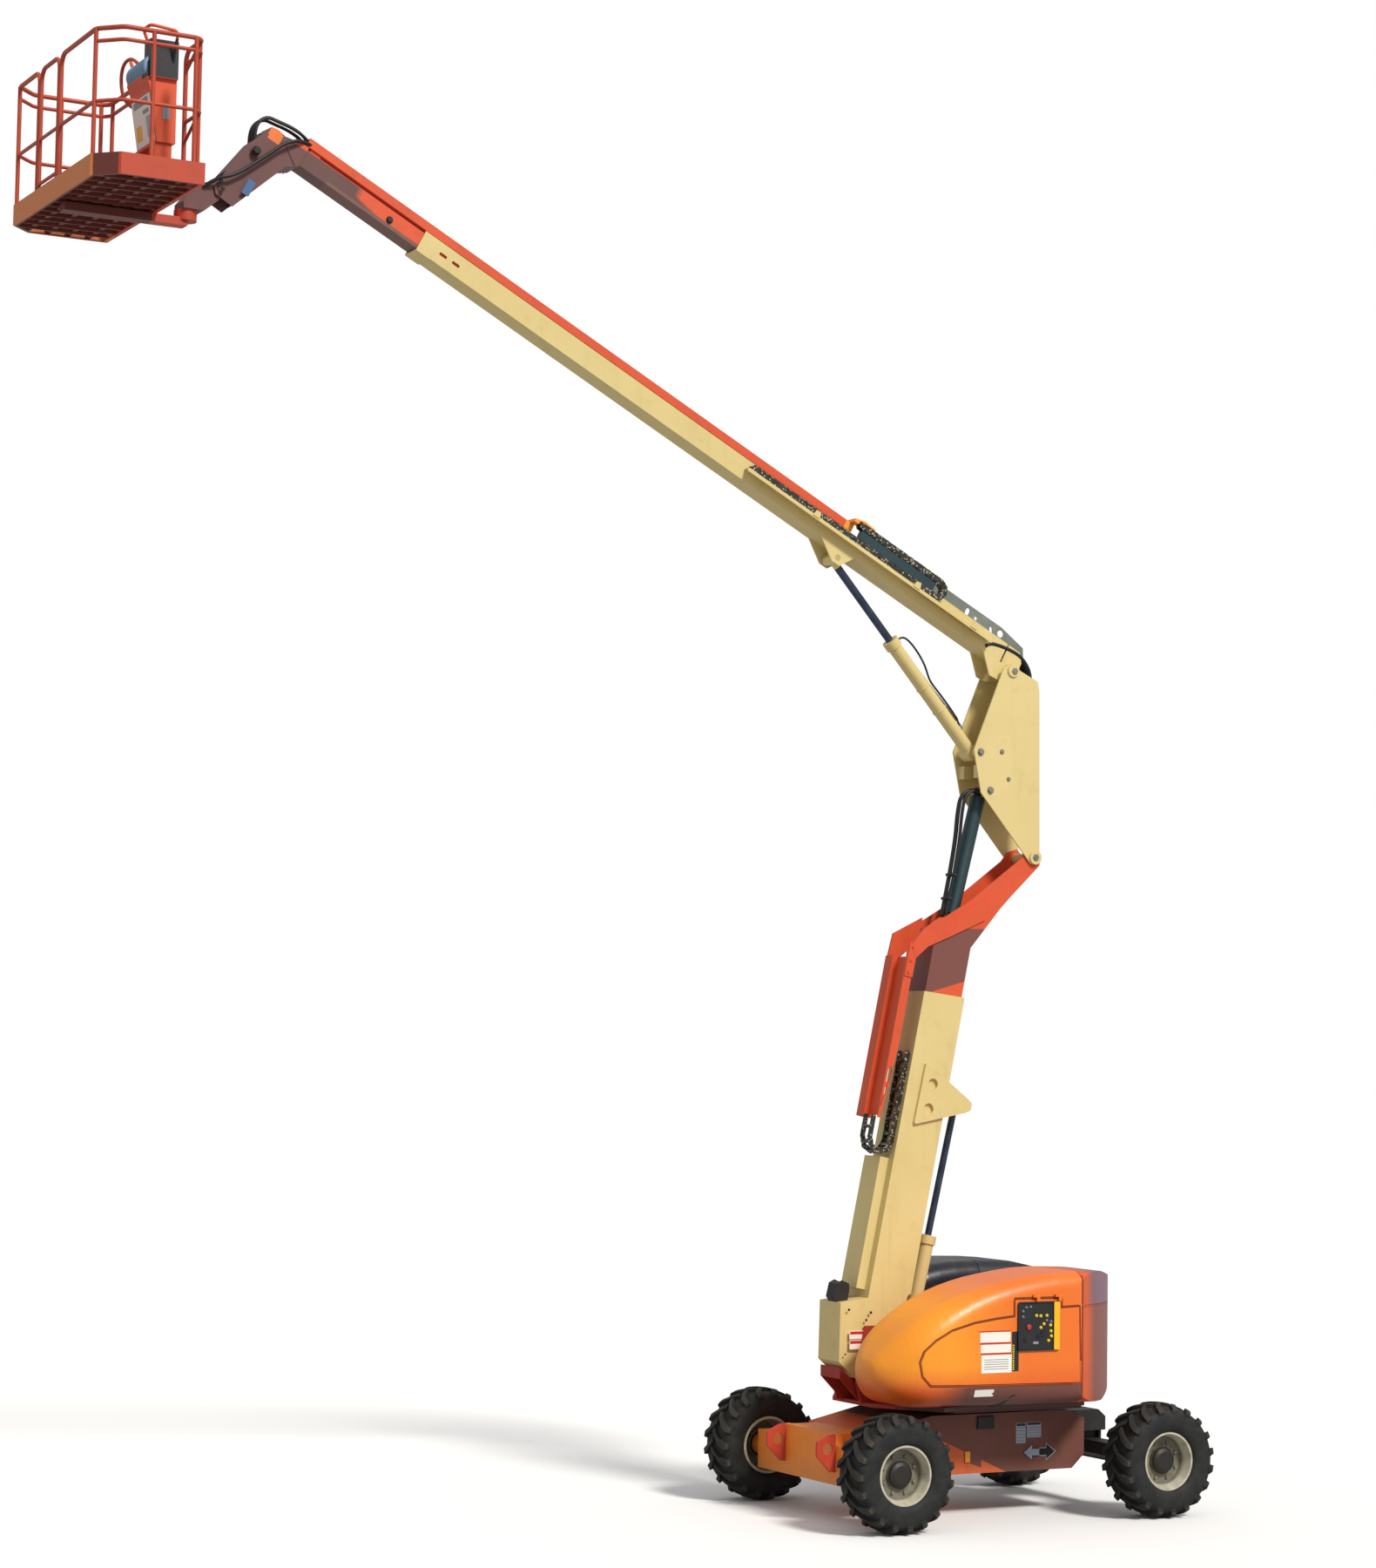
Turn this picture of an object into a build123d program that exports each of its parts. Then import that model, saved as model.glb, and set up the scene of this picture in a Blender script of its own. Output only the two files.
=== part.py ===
"""Articulating boom lift: tower boom, upright and telescopic main boom on a slewing, wheeled chassis.

Frame: +X towards the steer axle, +Y left, +Z up, millimetres. The origin is on the ground under the
slewing axis, and the machine stands with its tower raised and its main boom reaching over -X.
"""

from math import atan2, cos, degrees, hypot, pi, radians, sin, sqrt
import os

from build123d import *

os.makedirs("parts", exist_ok=True)

# ---------------------------------------------------------------- driving dimensions: running gear
wheelbase = 2480.0
overall_width = 2480.0
tyre_radius = 455.0
tyre_width = 362.0
rim_radius = 232.0
rim_width = 300.0
hub_radius = 118.0
wheel_bolts = 8
wheel_bolt_circle = 168.0
steer_arm = 160.0
kingpin_inset = 330.0

# ---------------------------------------------------------------- driving dimensions: chassis
axle_height = 455.0
frame_half_width = 500.0
frame_wall = 12.0
frame_bottom = 340.0
frame_top = 810.0
axle_beam_depth = 280.0
axle_beam_bottom = 292.0
axle_beam_top = 600.0
axle_hump_top = 690.0
lug_spread = 780.0
lug_plate = 22.0
lug_ahead = 75.0
lug_hole = 46.0

# ---------------------------------------------------------------- driving dimensions: turntable
slew_ring_height = 62.0
slew_ring_radius = 430.0
deck_thickness = 30.0
tail_radius = 1215.0
trough_half_width = 340.0
pod_outer = 1150.0
pod_bottom = 935.0
hood_wall = 8.0
hood_gap = 6.0
sides = {"left": 1, "right": -1}

# ---------------------------------------------------------------- driving dimensions: tower boom
tower_pivot_x = -920.0
tower_pivot_z = 1400.0
tower_angle = 78.5
tower_travel = 78.0
tower_base_length = 2850.0
tower_base_width = 324.0
tower_base_low = -100.0
tower_base_high = 290.0
tower_wall = 10.0
foot_shoulder = ((228.0, -345.0), (310.0, tower_base_low))
tower_clearance = 8.0
tower_top_along = 4133.0
tower_top_across = 721.0

# ---------------------------------------------------------------- driving dimensions: upright
upright_gap = 300.0
upright_plate = 14.0
main_pivot_x = -234.0
main_pivot_z = 1543.0

# ---------------------------------------------------------------- driving dimensions: main boom
boom_angle = 27.7
base_length = 6150.0
base_width = 204.0
base_low = 22.0
base_high = 192.0
base_wall = 8.0
fly_clearance = 8.0
track_width = 66.0
track_gap = 1.0
shelf_margin = 8.0
track_seat = 112.3
track_depth = 50.0
track_rise = 134.7
fly_stick_out = 1100.0
nose_pivot_u = 7674.0
nose_pivot_v = -478.0

# ---------------------------------------------------------------- driving dimensions: platform
platform_length = 2120.0
platform_depth = 790.0
platform_gap = 475.0
platform_floor_z = -246.0
toe_board = 156.0
rail_height = 1070.0
rail_radius = 17.0
rail_bend = 90.0
mid_rail_share = 0.42

platform_inner = -platform_gap
platform_outer = -platform_gap - platform_depth
gate_low = -70.0
gate_high = 350.0
near_stop = -660.0
far_stop = 200.0
corner_cut = 170.0
support_half = 100.0
rotator_x = -235.0

# ---------------------------------------------------------------- pins, cylinders and fittings
foot_pin_radius = 45.0
lift_pin_radius = 34.0
top_pin_radius = 40.0
main_pin_radius = 38.0
level_pin_radius = 20.0
nose_pin_radius = 32.0
rod_pin_radius = 26.0
lift_eye_half = 66.0
level_eye_half = 40.0
gland_length = 70.0
pad_gap = 0.3
lift_base_x = -552.0
lift_base_z = 1100.0
lift_rod_along = 1996.0
lift_rod_across = 482.0
level_base_along = 2255.0
level_base_across = 51.0
level_pin_x = -450.0
level_pin_z = 535.0
main_lift_x = -543.0
main_lift_z = 850.0
main_lift_u = 1855.0
main_lift_v = -52.0
tower_overlap = 1650.0
lug_proud = 26.0
cheek_inner = 176.0
cheek_plate = 22.0
nose_half = 150.0
rail_low = 198.0
rail_high = 265.0
rail_near = 100.0
rail_far = 30.0
lug_z = 575.0

# ---------------------------------------------------------------- steer axle
cradle_top = 760.0
cradle_bottom = 590.0
cradle_half = 170.0
cradle_plate = 22.0
axle_pin_z = 540.0
axle_pin_radius = 24.0
steer_beam_low = 380.0
steer_beam_high = 520.0
steer_beam_half = 82.0
yoke_thickness = 30.0
kingpin_radius = 26.0
knuckle_half = 48.0
steer_arm_low = 434.0
steer_arm_thick = 22.0
tie_rod_half = 12.0

# ---------------------------------------------------------------- outlines seen from the side
# Cross-sections of a pod: place along the machine, inner and outer edge, bottom, top, corner radius
pod_sections = {
    "right": [
        (-1322, 650, 770, 1165, 1245, 36),
        (-1310, 590, 835, 1115, 1285, 80),
        (-1283, 510, 895, 1068, 1330, 125),
        (-1230, 430, 965, 1008, 1395, 175),
        (-1145, 362, 1035, 962, 1488, 205),
        (-1000, 340, 1105, pod_bottom, 1612, 220),
        (-800, 340, 1140, pod_bottom, 1728, 205),
        (-500, 340, pod_outer, pod_bottom, 1842, 170),
        (-110, 340, pod_outer, pod_bottom, 1925, 140),
        (400, 340, pod_outer, pod_bottom, 1972, 125),
        (1320, 340, pod_outer, pod_bottom, 1930, 125),
    ],
    "left": [
        (-430, 520, 900, 1130, 1450, 100),
        (-412, 440, 1010, 1030, 1590, 150),
        (-360, 360, 1100, 955, 1720, 165),
        (-250, 340, pod_outer, pod_bottom, 1825, 160),
        (-60, 340, pod_outer, pod_bottom, 1918, 140),
        (400, 340, pod_outer, pod_bottom, 1960, 125),
        (1320, 340, pod_outer, pod_bottom, 1930, 125),
    ],
}
tail_outline = [
    (-1500, 800), (520, 800), (520, pod_bottom), (760, pod_bottom), (1172, 1080), (1168, 1360), (1095, 1790),
    (985, 1905), (730, 1962), (400, 2100), (-1500, 2100),
]
pod_steps = 3
tail_seam = 436.0
tail_groove = 1702.0
door_outline = {
    "right": [
        (-960, 1118), (424, 1100), (405, 1702), (228, 1696), (228, 1772), (-212, 1772), (-212, 1636),
        (-381, 1620), (-583, 1592), (-784, 1538), (-919, 1463), (-1012, 1379), (-1042, 1300), (-1024, 1190),
    ],
    "left": [
        (-280, 1118), (424, 1100), (405, 1702), (228, 1696), (228, 1772), (-80, 1760), (-180, 1690),
        (-280, 1560),
    ],
}
panel_x = (-188.0, 206.0)
panel_z = (1366.0, 1748.0)
panel_frame = (10.0, 60.0)
strap_foot = (1750.0, 1758.0)
hinge_places = (-20.0, 190.0)
hinge_y = 1166.0
hinge_z = 1792.0

# ---------------------------------------------------------------- derived places
track = overall_width - tyre_width
half_track = track / 2
rear_x = -wheelbase / 2
front_x = wheelbase / 2
deck_bottom = frame_top + slew_ring_height
deck_top = deck_bottom + deck_thickness
tyre_inner = half_track - tyre_width / 2
kingpin_y = half_track - kingpin_inset
frame_nose = front_x - kingpin_inset
spindle_end = half_track - 30.5
track_top = track_seat + track_depth + track_rise
axle_front = rear_x - axle_beam_depth / 2
lug_x = axle_front - lug_ahead


def xz_plane(x, z, angle=0.0, flip=False):
    """Plane across the machine through (x, z), its x axis raised by angle, its z axis along +Y.

    With flip the x axis points the other way, over -X, and the plane's y axis still points up.
    """
    direction = -1 if flip else 1
    return Plane(
        origin=(x, 0, z),
        x_dir=(direction * cos(radians(angle)), 0, sin(radians(angle))),
        z_dir=(0, 1, 0),
    )


def at(plane, along, across, out=0.0):
    """World point of a plane's local coordinates."""
    return plane.from_local_coords((along, across, out))


ground_side = Plane(origin=(0, 0, 0), x_dir=(1, 0, 0), z_dir=(0, -1, 0))
tower = xz_plane(tower_pivot_x, tower_pivot_z, tower_angle)
tower_top = at(tower, tower_top_along, tower_top_across)
upright = Plane(origin=(tower_top.X, 0, tower_top.Z), x_dir=(1, 0, 0), z_dir=(0, -1, 0))
main_pivot = at(upright, main_pivot_x, main_pivot_z)
boom = xz_plane(main_pivot.X, main_pivot.Z, boom_angle, flip=True)
nose_pivot = at(boom, nose_pivot_u, nose_pivot_v)
basket = Plane(origin=(nose_pivot.X, 0, nose_pivot.Z), x_dir=(1, 0, 0), z_dir=(0, -1, 0))


# ---------------------------------------------------------------- shared operations
def plate(plane, outline, low, high, mode=Mode.ADD):
    """A flat-sided solid with a closed outline in the plane, from height low to high."""
    with BuildSketch(plane.offset(low)) as profile:
        with BuildLine():
            Polyline(*outline, close=True)
        make_face()
    extrude(profile.sketch, amount=high - low, mode=mode)


def sheet(plane, outline, holes, low, high, rounding=0.0):
    """A plate with round holes, each a centre and a radius, and its corners rounded on request."""
    with BuildSketch(plane.offset(low)) as profile:
        with BuildLine():
            Polyline(*outline, close=True)
        make_face()
        if rounding:
            fillet(profile.vertices(), rounding)
        for centre, radius in holes:
            with Locations(centre):
                Circle(radius, mode=Mode.SUBTRACT)
    extrude(profile.sketch, amount=high - low)


def block(plane, x_range, y_range, z_range, mode=Mode.ADD):
    """A box given by its ranges in the plane's own coordinates."""
    corners = [
        (x_range[0], y_range[0]),
        (x_range[1], y_range[0]),
        (x_range[1], y_range[1]),
        (x_range[0], y_range[1]),
    ]
    plate(plane, corners, z_range[0], z_range[1], mode)


def boss(plane, centre, radius, low, high, mode=Mode.ADD):
    """A round boss, pin or hole along the plane's normal."""
    with BuildSketch(plane.offset(low)) as profile:
        with Locations(centre):
            Circle(radius)
    extrude(profile.sketch, amount=high - low, mode=mode)


def bar(start, end, radius, mode=Mode.ADD):
    """A round bar between two points."""
    first = Vector(*start)
    last = Vector(*end)
    with BuildSketch(Plane(origin=first, z_dir=last - first)) as profile:
        Circle(radius)
    extrude(profile.sketch, amount=(last - first).length, mode=mode)


def pipe(points, radius, bend):
    """A bent round pipe through the points, its corners rounded."""
    with BuildLine() as path:
        FilletPolyline(*points, radius=bend)
    start = path.line @ 0
    heading = path.line % 0
    with BuildSketch(Plane(origin=start, z_dir=heading)) as profile:
        Circle(radius)
    sweep(profile.sketch, path=path.line)


def save(part, name):
    """Label a finished piece and write it."""
    part.label = name
    export_step(part, f"parts/{name}.step")


# ---------------------------------------------------------------- wheels
def wheel_section(x, y):
    """Plane through a wheel's axis: its x axis lies along +Y and its y axis is radial."""
    return Plane(origin=(x, y, axle_height), x_dir=(0, 1, 0), z_dir=(1, 0, 0))


def make_tyre(x, y):
    half = tyre_width / 2
    shoulder = 46.0
    bead = rim_width / 2
    with BuildPart() as tyre:
        with BuildSketch(wheel_section(x, y)):
            with BuildLine():
                Polyline(
                    (-bead, rim_radius),
                    (-half, rim_radius + 70),
                    (-half, tyre_radius - shoulder),
                    (-half + shoulder, tyre_radius),
                    (half - shoulder, tyre_radius),
                    (half, tyre_radius - shoulder),
                    (half, rim_radius + 70),
                    (bead, rim_radius),
                    close=True,
                )
            make_face()
        revolve(axis=Axis((x, y, axle_height), (0, 1, 0)))
    return tyre.part


def make_wheel(x, y, outward):
    """Rim with its pressed disc, ring of wheel nuts and the hub that it is bolted to."""
    half = rim_width / 2
    lip = 22.0
    disc = 40.0
    with BuildPart() as rim:
        with BuildSketch(wheel_section(x, y)):
            with BuildLine():
                Polyline(
                    (outward * half, rim_radius),
                    (-outward * half, rim_radius),
                    (-outward * half, rim_radius - lip),
                    (outward * (disc - 16), rim_radius - lip - 12),
                    (outward * (disc - 16), hub_radius),
                    (outward * -30, hub_radius),
                    (outward * -30, 0),
                    (outward * 96, 0),
                    (outward * 96, 70),
                    (outward * 84, hub_radius - 22),
                    (outward * 60, hub_radius - 8),
                    (outward * disc, hub_radius - 8),
                    (outward * disc, rim_radius - lip - 26),
                    (outward * (half - 20), rim_radius - lip),
                    (outward * half, rim_radius - lip + 6),
                    close=True,
                )
            make_face()
        revolve(axis=Axis((x, y, axle_height), (0, 1, 0)))
        bolt_plane = Plane(
            origin=(x, y + outward * disc, axle_height), x_dir=(1, 0, 0), z_dir=(0, outward, 0)
        )
        with BuildSketch(bolt_plane):
            with PolarLocations(wheel_bolt_circle - 22, wheel_bolts, start_angle=22.5):
                RegularPolygon(14, 6)
        extrude(amount=16)
    return rim.part


# ---------------------------------------------------------------- chassis
def make_chassis_frame():
    """Welded frame: a hollow box between the axles with a sloping top at the rear."""
    beam_back = rear_x + axle_beam_depth / 2
    seat_back = -560.0
    with BuildPart() as frame:
        body = [
            (beam_back, frame_bottom + 40),
            (seat_back, frame_bottom),
            (frame_nose - 120, frame_bottom),
            (frame_nose, frame_bottom + 110),
            (frame_nose, frame_top - 70),
            (frame_nose - 160, frame_top),
            (seat_back, frame_top),
            (beam_back, axle_hump_top),
        ]
        half = frame_half_width
        plate(ground_side, body, -half, half)
        inner = offset_outline(body, frame_wall)
        plate(ground_side, inner, -half + frame_wall, half - frame_wall, Mode.SUBTRACT)
    return frame.part


def offset_outline(outline, wall):
    """The outline moved inwards by a wall, for outlines listed anticlockwise."""
    count = len(outline)
    lines = []
    for index in range(count):
        (ax, ay), (bx, by) = outline[index], outline[(index + 1) % count]
        length = hypot(bx - ax, by - ay)
        nx, ny = -(by - ay) / length, (bx - ax) / length
        lines.append(((ax + nx * wall, ay + ny * wall), (bx - ax, by - ay)))
    moved = []
    for index in range(count):
        (px, py), (dx, dy) = lines[index - 1]
        (qx, qy), (ex, ey) = lines[index]
        cross = dx * ey - dy * ex
        share = ((qx - px) * ey - (qy - py) * ex) / cross
        moved.append((px + dx * share, py + dy * share))
    return moved


def make_rear_axle():
    """Fixed drive axle: a hollow beam with a raised middle, tie-down lugs and a hub tube to each wheel."""
    front = axle_front
    hump = lug_spread / 2 - lug_plate / 2
    end = tyre_inner - 40.0
    profile = [
        (-end, axle_beam_bottom),
        (end, axle_beam_bottom),
        (end, axle_beam_top),
        (hump, axle_beam_top),
        (hump, axle_hump_top),
        (-hump, axle_hump_top),
        (-hump, axle_beam_top),
        (-end, axle_beam_top),
    ]
    across = Plane(origin=(front, 0, 0), x_dir=(0, 1, 0), z_dir=(1, 0, 0))
    wall = 14.0
    lug_root = front + 60
    lug_outline = [
        (lug_root, axle_beam_bottom + 100),
        (front - 50, axle_beam_bottom + 104),
        (lug_x - 100, lug_z - 50),
        (lug_x - 100, lug_z + 60),
        (front - 60, axle_hump_top - 2),
        (lug_root, axle_hump_top + 4),
    ]
    with BuildPart() as axle:
        plate(across, profile, 0, axle_beam_depth)
        inside = offset_outline(profile, wall)
        plate(across, inside, wall, axle_beam_depth - wall, Mode.SUBTRACT)
        for hand in (-1, 1):
            bar((rear_x, hand * end, axle_height), (rear_x, hand * spindle_end, axle_height), 88)
            low = hand * lug_spread / 2 - lug_plate / 2
            sheet(ground_side, lug_outline, [((lug_x, lug_z), lug_hole)], low, low + lug_plate, 24)
    return axle.part


def make_axle_cradle():
    """Cradle ahead of the frame, with the pin that the steer axle hangs on."""
    inner_gap = steer_beam_half + 12
    end = front_x + inner_gap + cradle_plate
    outline = [
        (frame_nose, cradle_bottom), (end, cradle_bottom), (end, cradle_top - 60), (end - 70, cradle_top),
        (frame_nose, cradle_top),
    ]
    with BuildPart() as cradle:
        plate(ground_side, outline, -cradle_half, cradle_half)
        for start in (front_x - inner_gap - cradle_plate, front_x + inner_gap):
            block(ground_side, (start, start + cradle_plate), (axle_pin_z - 60, cradle_bottom), (-110, 110))
        reach = inner_gap + 6
        bar((front_x - reach, 0, axle_pin_z), (front_x + reach, 0, axle_pin_z), axle_pin_radius)
    return cradle.part


def make_steer_axle():
    """Steer axle beam with a yoke at each end and a lug for the pin."""
    reach = kingpin_y - knuckle_half - 20
    low = front_x - steer_beam_half
    high = front_x + steer_beam_half
    waist = reach - 140
    plan = [
        (low, -waist), (front_x - 40, -reach), (front_x + 40, -reach), (high, -waist),
        (high, waist), (front_x + 40, reach), (front_x - 40, reach), (low, waist),
    ]
    with BuildPart() as axle:
        plate(Plane.XY, plan, steer_beam_low, steer_beam_high)
        block(ground_side, (low, high), (steer_beam_high, axle_pin_z + 44), (-80, 80))
        for hand in (-1, 1):
            for base in (steer_beam_low, steer_beam_high - yoke_thickness):
                with BuildSketch(Plane.XY.offset(base)):
                    with Locations((front_x, hand * (reach + kingpin_y) / 2)):
                        Rectangle(120, kingpin_y - reach + 2)
                    with Locations((front_x, hand * kingpin_y)):
                        Circle(60)
                        Circle(kingpin_radius + 0.3, mode=Mode.SUBTRACT)
                extrude(amount=yoke_thickness)
        bar((low - 5, 0, axle_pin_z), (high + 5, 0, axle_pin_z), axle_pin_radius + 0.3, Mode.SUBTRACT)
    return axle.part


def make_knuckle(hand):
    """Steering knuckle: kingpin, body, spindle and the arm that the tie rod lies under."""
    y = hand * kingpin_y
    low = steer_beam_low + yoke_thickness + 0.3
    high = steer_beam_high - yoke_thickness - 0.3
    with BuildPart() as knuckle:
        bar((front_x, y, steer_beam_low - 8), (front_x, y, steer_beam_high + 8), kingpin_radius)
        with BuildSketch(Plane.XY.offset(low)):
            with Locations((front_x, y)):
                Circle(knuckle_half + 6)
        extrude(amount=high - low)
        spindle_start = y + hand * (knuckle_half - 4)
        bar((front_x, spindle_start, axle_height), (front_x, hand * spindle_end, axle_height), 34)
        with BuildSketch(Plane.XY.offset(steer_arm_low)):
            with Locations((front_x - steer_arm / 2, y)):
                Rectangle(steer_arm, 56)
            with Locations((front_x - steer_arm, y)):
                Circle(28)
        extrude(amount=steer_arm_thick)
    return knuckle.part


def make_tie_rod():
    """Tie rod whose flat ends lie just under the two steering arms."""
    x = front_x - steer_arm
    z = steer_arm_low - 0.3 - tie_rod_half
    with BuildPart() as rod:
        bar((x, -kingpin_y, z), (x, kingpin_y, z), tie_rod_half - 2)
        for hand in (-1, 1):
            bar((x, hand * kingpin_y, z - tie_rod_half), (x, hand * kingpin_y, z + tie_rod_half), 28)
    return rod.part


def make_slew_ring():
    """Lower race of the slewing bearing."""
    with BuildPart() as ring:
        with BuildSketch(Plane.XY.offset(frame_top)):
            Circle(slew_ring_radius)
            Circle(slew_ring_radius - 110, mode=Mode.SUBTRACT)
        extrude(amount=slew_ring_height / 2)
    return ring.part


# ---------------------------------------------------------------- turntable
def make_turntable_frame():
    """Slewing deck on its race, with a slot for the stowed tower, two cheeks and the nose below the foot."""
    slot = 255.0
    deck = [
        (-1000, -300), (-600, -900), (600, -900), (1000, -330), (1000, -slot), (560, -slot),
        (560, slot), (1000, slot), (1000, 330), (600, 900), (-600, 900), (-1000, 300),
    ]
    cheek = [
        (-1030, deck_top - 5), (520, deck_top - 5), (520, deck_top + 120), (-380, deck_top + 260),
        (tower_pivot_x + 190, tower_pivot_z + 60), (tower_pivot_x + 80, tower_pivot_z + 105),
        (tower_pivot_x - 80, tower_pivot_z + 105), (tower_pivot_x - 100, tower_pivot_z + 60),
        (-1080, 1060),
    ]
    nose = [
        (-1205, 1178), (-1205, 1090), (-985, deck_bottom), (-940, deck_bottom), (-940, deck_top + 60),
        (-1056, 1052),
    ]
    with BuildPart() as frame:
        plate(Plane.XY, deck, deck_bottom, deck_top)
        with BuildSketch(Plane.XY.offset(frame_top + slew_ring_height / 2)):
            Circle(slew_ring_radius - 24)
            Circle(slew_ring_radius - 110, mode=Mode.SUBTRACT)
        extrude(amount=slew_ring_height / 2)
        for hand in (-1, 1):
            start = -330.0 if hand > 0 else -880.0
            floor = [
                (start, hand * (trough_half_width + 5)), (760, hand * (trough_half_width + 5)),
                (560, hand * 1000), (start + 120, hand * 1000),
            ]
            plate(Plane.XY, floor, deck_top, pod_bottom)
            low = hand * (cheek_inner + cheek_plate / 2) - cheek_plate / 2
            holes = [
                ((tower_pivot_x, tower_pivot_z), foot_pin_radius + 0.3),
                ((lift_base_x, lift_base_z), lift_pin_radius + 0.3),
            ]
            sheet(ground_side, cheek, holes, low, low + cheek_plate)
            middle = hand * (nose_half - 8)
            plate(ground_side, nose, middle - 8, middle + 8)
        front = [(-1205, 1178), (-1205, 1090), (-1187, 1084), (-1187, 1163)]
        plate(ground_side, front, -nose_half, nose_half)
    return frame.part


def make_counterweight(side):
    """Cast counterweight that forms the tail of a pod, with a groove along its shoulder."""
    front = tail_seam + hood_gap / 2
    body = pod_solid(side, 0)
    core = pod_solid(side, 5)
    with BuildPart() as weight:
        add(body)
        block(ground_side, (front, 1400), (pod_bottom, 2100), (-1300, 1300), Mode.INTERSECT)
        with BuildPart(mode=Mode.PRIVATE) as groove:
            add(body)
            block(ground_side, (front - 1, 1400), (tail_groove, tail_groove + hood_gap), (-1300, 1300),
                  Mode.INTERSECT)
            add(core, mode=Mode.SUBTRACT)
        add(groove.part, mode=Mode.SUBTRACT)
    return weight.part


def faired_sections(table, steps):
    """The table's sections with extra ones between, each column following a smooth monotone curve."""
    columns = list(zip(*table))
    slopes = []
    for column in columns:
        rises = [after - before for before, after in zip(column, column[1:])]
        inner = []
        for before, after in zip(rises, rises[1:]):
            inner.append(2 * before * after / (before + after) if before * after > 0 else 0.0)
        slopes.append([rises[0]] + inner + [rises[-1]])
    rows = []
    for index in range(len(table) - 1):
        for step in range(steps):
            t = step / steps
            row = []
            for column, slope in zip(columns, slopes):
                rise = column[index + 1] - column[index]
                bend = slope[index] + slope[index + 1] - 2 * rise
                lift = 3 * rise - 2 * slope[index] - slope[index + 1]
                row.append(column[index] + t * (slope[index] + t * (lift + t * bend)))
            rows.append(row)
    rows.append(list(table[-1]))
    return rows


def pod_solid(side, inset):
    """The closed body of one pod: a rounded loft along the machine, its tail cut to the slewing radius."""
    hand = sides[side]
    with BuildPart() as pod:
        for x, inner, outer, low, high, rounding in faired_sections(pod_sections[side], pod_steps):
            with BuildSketch(Plane(origin=(x + inset, 0, 0), x_dir=(0, 1, 0), z_dir=(1, 0, 0))):
                with Locations((hand * (inner + outer) / 2, (low + high) / 2)):
                    RectangleRounded(outer - inner - 2 * inset, high - low - 2 * inset, rounding - inset)
        loft(ruled=True)
        with BuildSketch(Plane.XY.offset(pod_bottom - 50)):
            Circle(tail_radius - inset)
            with Locations((-800, 0)):
                Rectangle(1600, 2600)
        extrude(amount=1200, mode=Mode.INTERSECT)
        tail = offset_outline(tail_outline, inset) if inset else tail_outline
        plate(ground_side, tail, -1300, 1300, Mode.INTERSECT)
    return pod.part


def door_range(hand):
    """Range across the machine that the door takes in, as the side plane measures it."""
    return sorted((-hand * (pod_outer - 265), -hand * (pod_outer + 50)))


def make_cowl(side):
    """Fixed shell of a pod ahead of the counterweight, with the door's opening and its hinge pins."""
    hand = sides[side]
    low, high = door_range(hand)
    with BuildPart() as cowl:
        add(pod_solid(side, 0))
        add(pod_solid(side, hood_wall), mode=Mode.SUBTRACT)
        plate(ground_side, door_outline[side], low, high, Mode.SUBTRACT)
        block(ground_side, (-1500, tail_seam - hood_gap / 2), (pod_bottom, 2100), (-1300, 1300), Mode.INTERSECT)
        for x in hinge_places:
            lug = sorted((-hand * (pod_outer - 2), -hand * (hinge_y + 8)))
            block(ground_side, (x - 30, x), (hinge_z - 10, hinge_z + 10), lug)
            bar((x - 10, hand * hinge_y, hinge_z), (x + 30, hand * hinge_y, hinge_z), 4)
    return cowl.part


def make_hood(side):
    """Side door of the pod, with two straps that turn on the cowl's hinge pins."""
    hand = sides[side]
    low, high = door_range(hand)
    with BuildPart() as hood:
        add(pod_solid(side, 0))
        add(pod_solid(side, hood_wall), mode=Mode.SUBTRACT)
        plate(ground_side, offset_outline(door_outline[side], hood_gap), low, high, Mode.INTERSECT)
        for x in hinge_places:
            foot = sorted((-hand * (pod_outer - 2), -hand * (hinge_y + 8)))
            strap = sorted((-hand * (hinge_y - 8), -hand * (hinge_y + 8)))
            block(ground_side, (x + 0.5, x + 30), strap_foot, foot)
            block(ground_side, (x + 0.5, x + 30), (strap_foot[0], hinge_z), strap)
            bar((x + 0.5, hand * hinge_y, hinge_z), (x + 30, hand * hinge_y, hinge_z), 8.2)
            bar((x, hand * hinge_y, hinge_z), (x + 31, hand * hinge_y, hinge_z), 4.4, Mode.SUBTRACT)
    return hood.part


def make_control_panel():
    """Ground control box on the right-hand door: a rounded frame round a sunk face."""
    face_margin, strip = panel_frame
    middle = ((panel_x[0] + panel_x[1]) / 2, (panel_z[0] + panel_z[1]) / 2)
    left = panel_x[0] + face_margin
    right = panel_x[1] - strip
    with BuildPart() as panel:
        with BuildSketch(ground_side.offset(pod_outer)):
            with Locations(middle):
                RectangleRounded(panel_x[1] - panel_x[0], panel_z[1] - panel_z[0], 22)
        extrude(amount=16)
        with BuildSketch(ground_side.offset(pod_outer + 9)):
            with Locations(((left + right) / 2, middle[1])):
                RectangleRounded(right - left, panel_z[1] - panel_z[0] - 2 * face_margin, 14)
        extrude(amount=10, mode=Mode.SUBTRACT)
    return panel.part


def make_engine():
    with BuildPart() as engine:
        block(ground_side, (-180, 400), (pod_bottom + hood_wall, 1560), (-960, -520))
    return engine.part


def make_tank():
    with BuildPart() as tank:
        block(ground_side, (-540, 300), (pod_bottom + hood_wall, 1380), (550, 930))
    return tank.part


def headed_pin(plane, centre, radius, reach):
    """A pin across the machine with a round keeper at each end."""
    with BuildPart() as pin:
        boss(plane, centre, radius, -reach, reach)
        for low in (-reach - 14, reach):
            boss(plane, centre, radius + 16, low, low + 14)
    return pin.part


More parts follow.
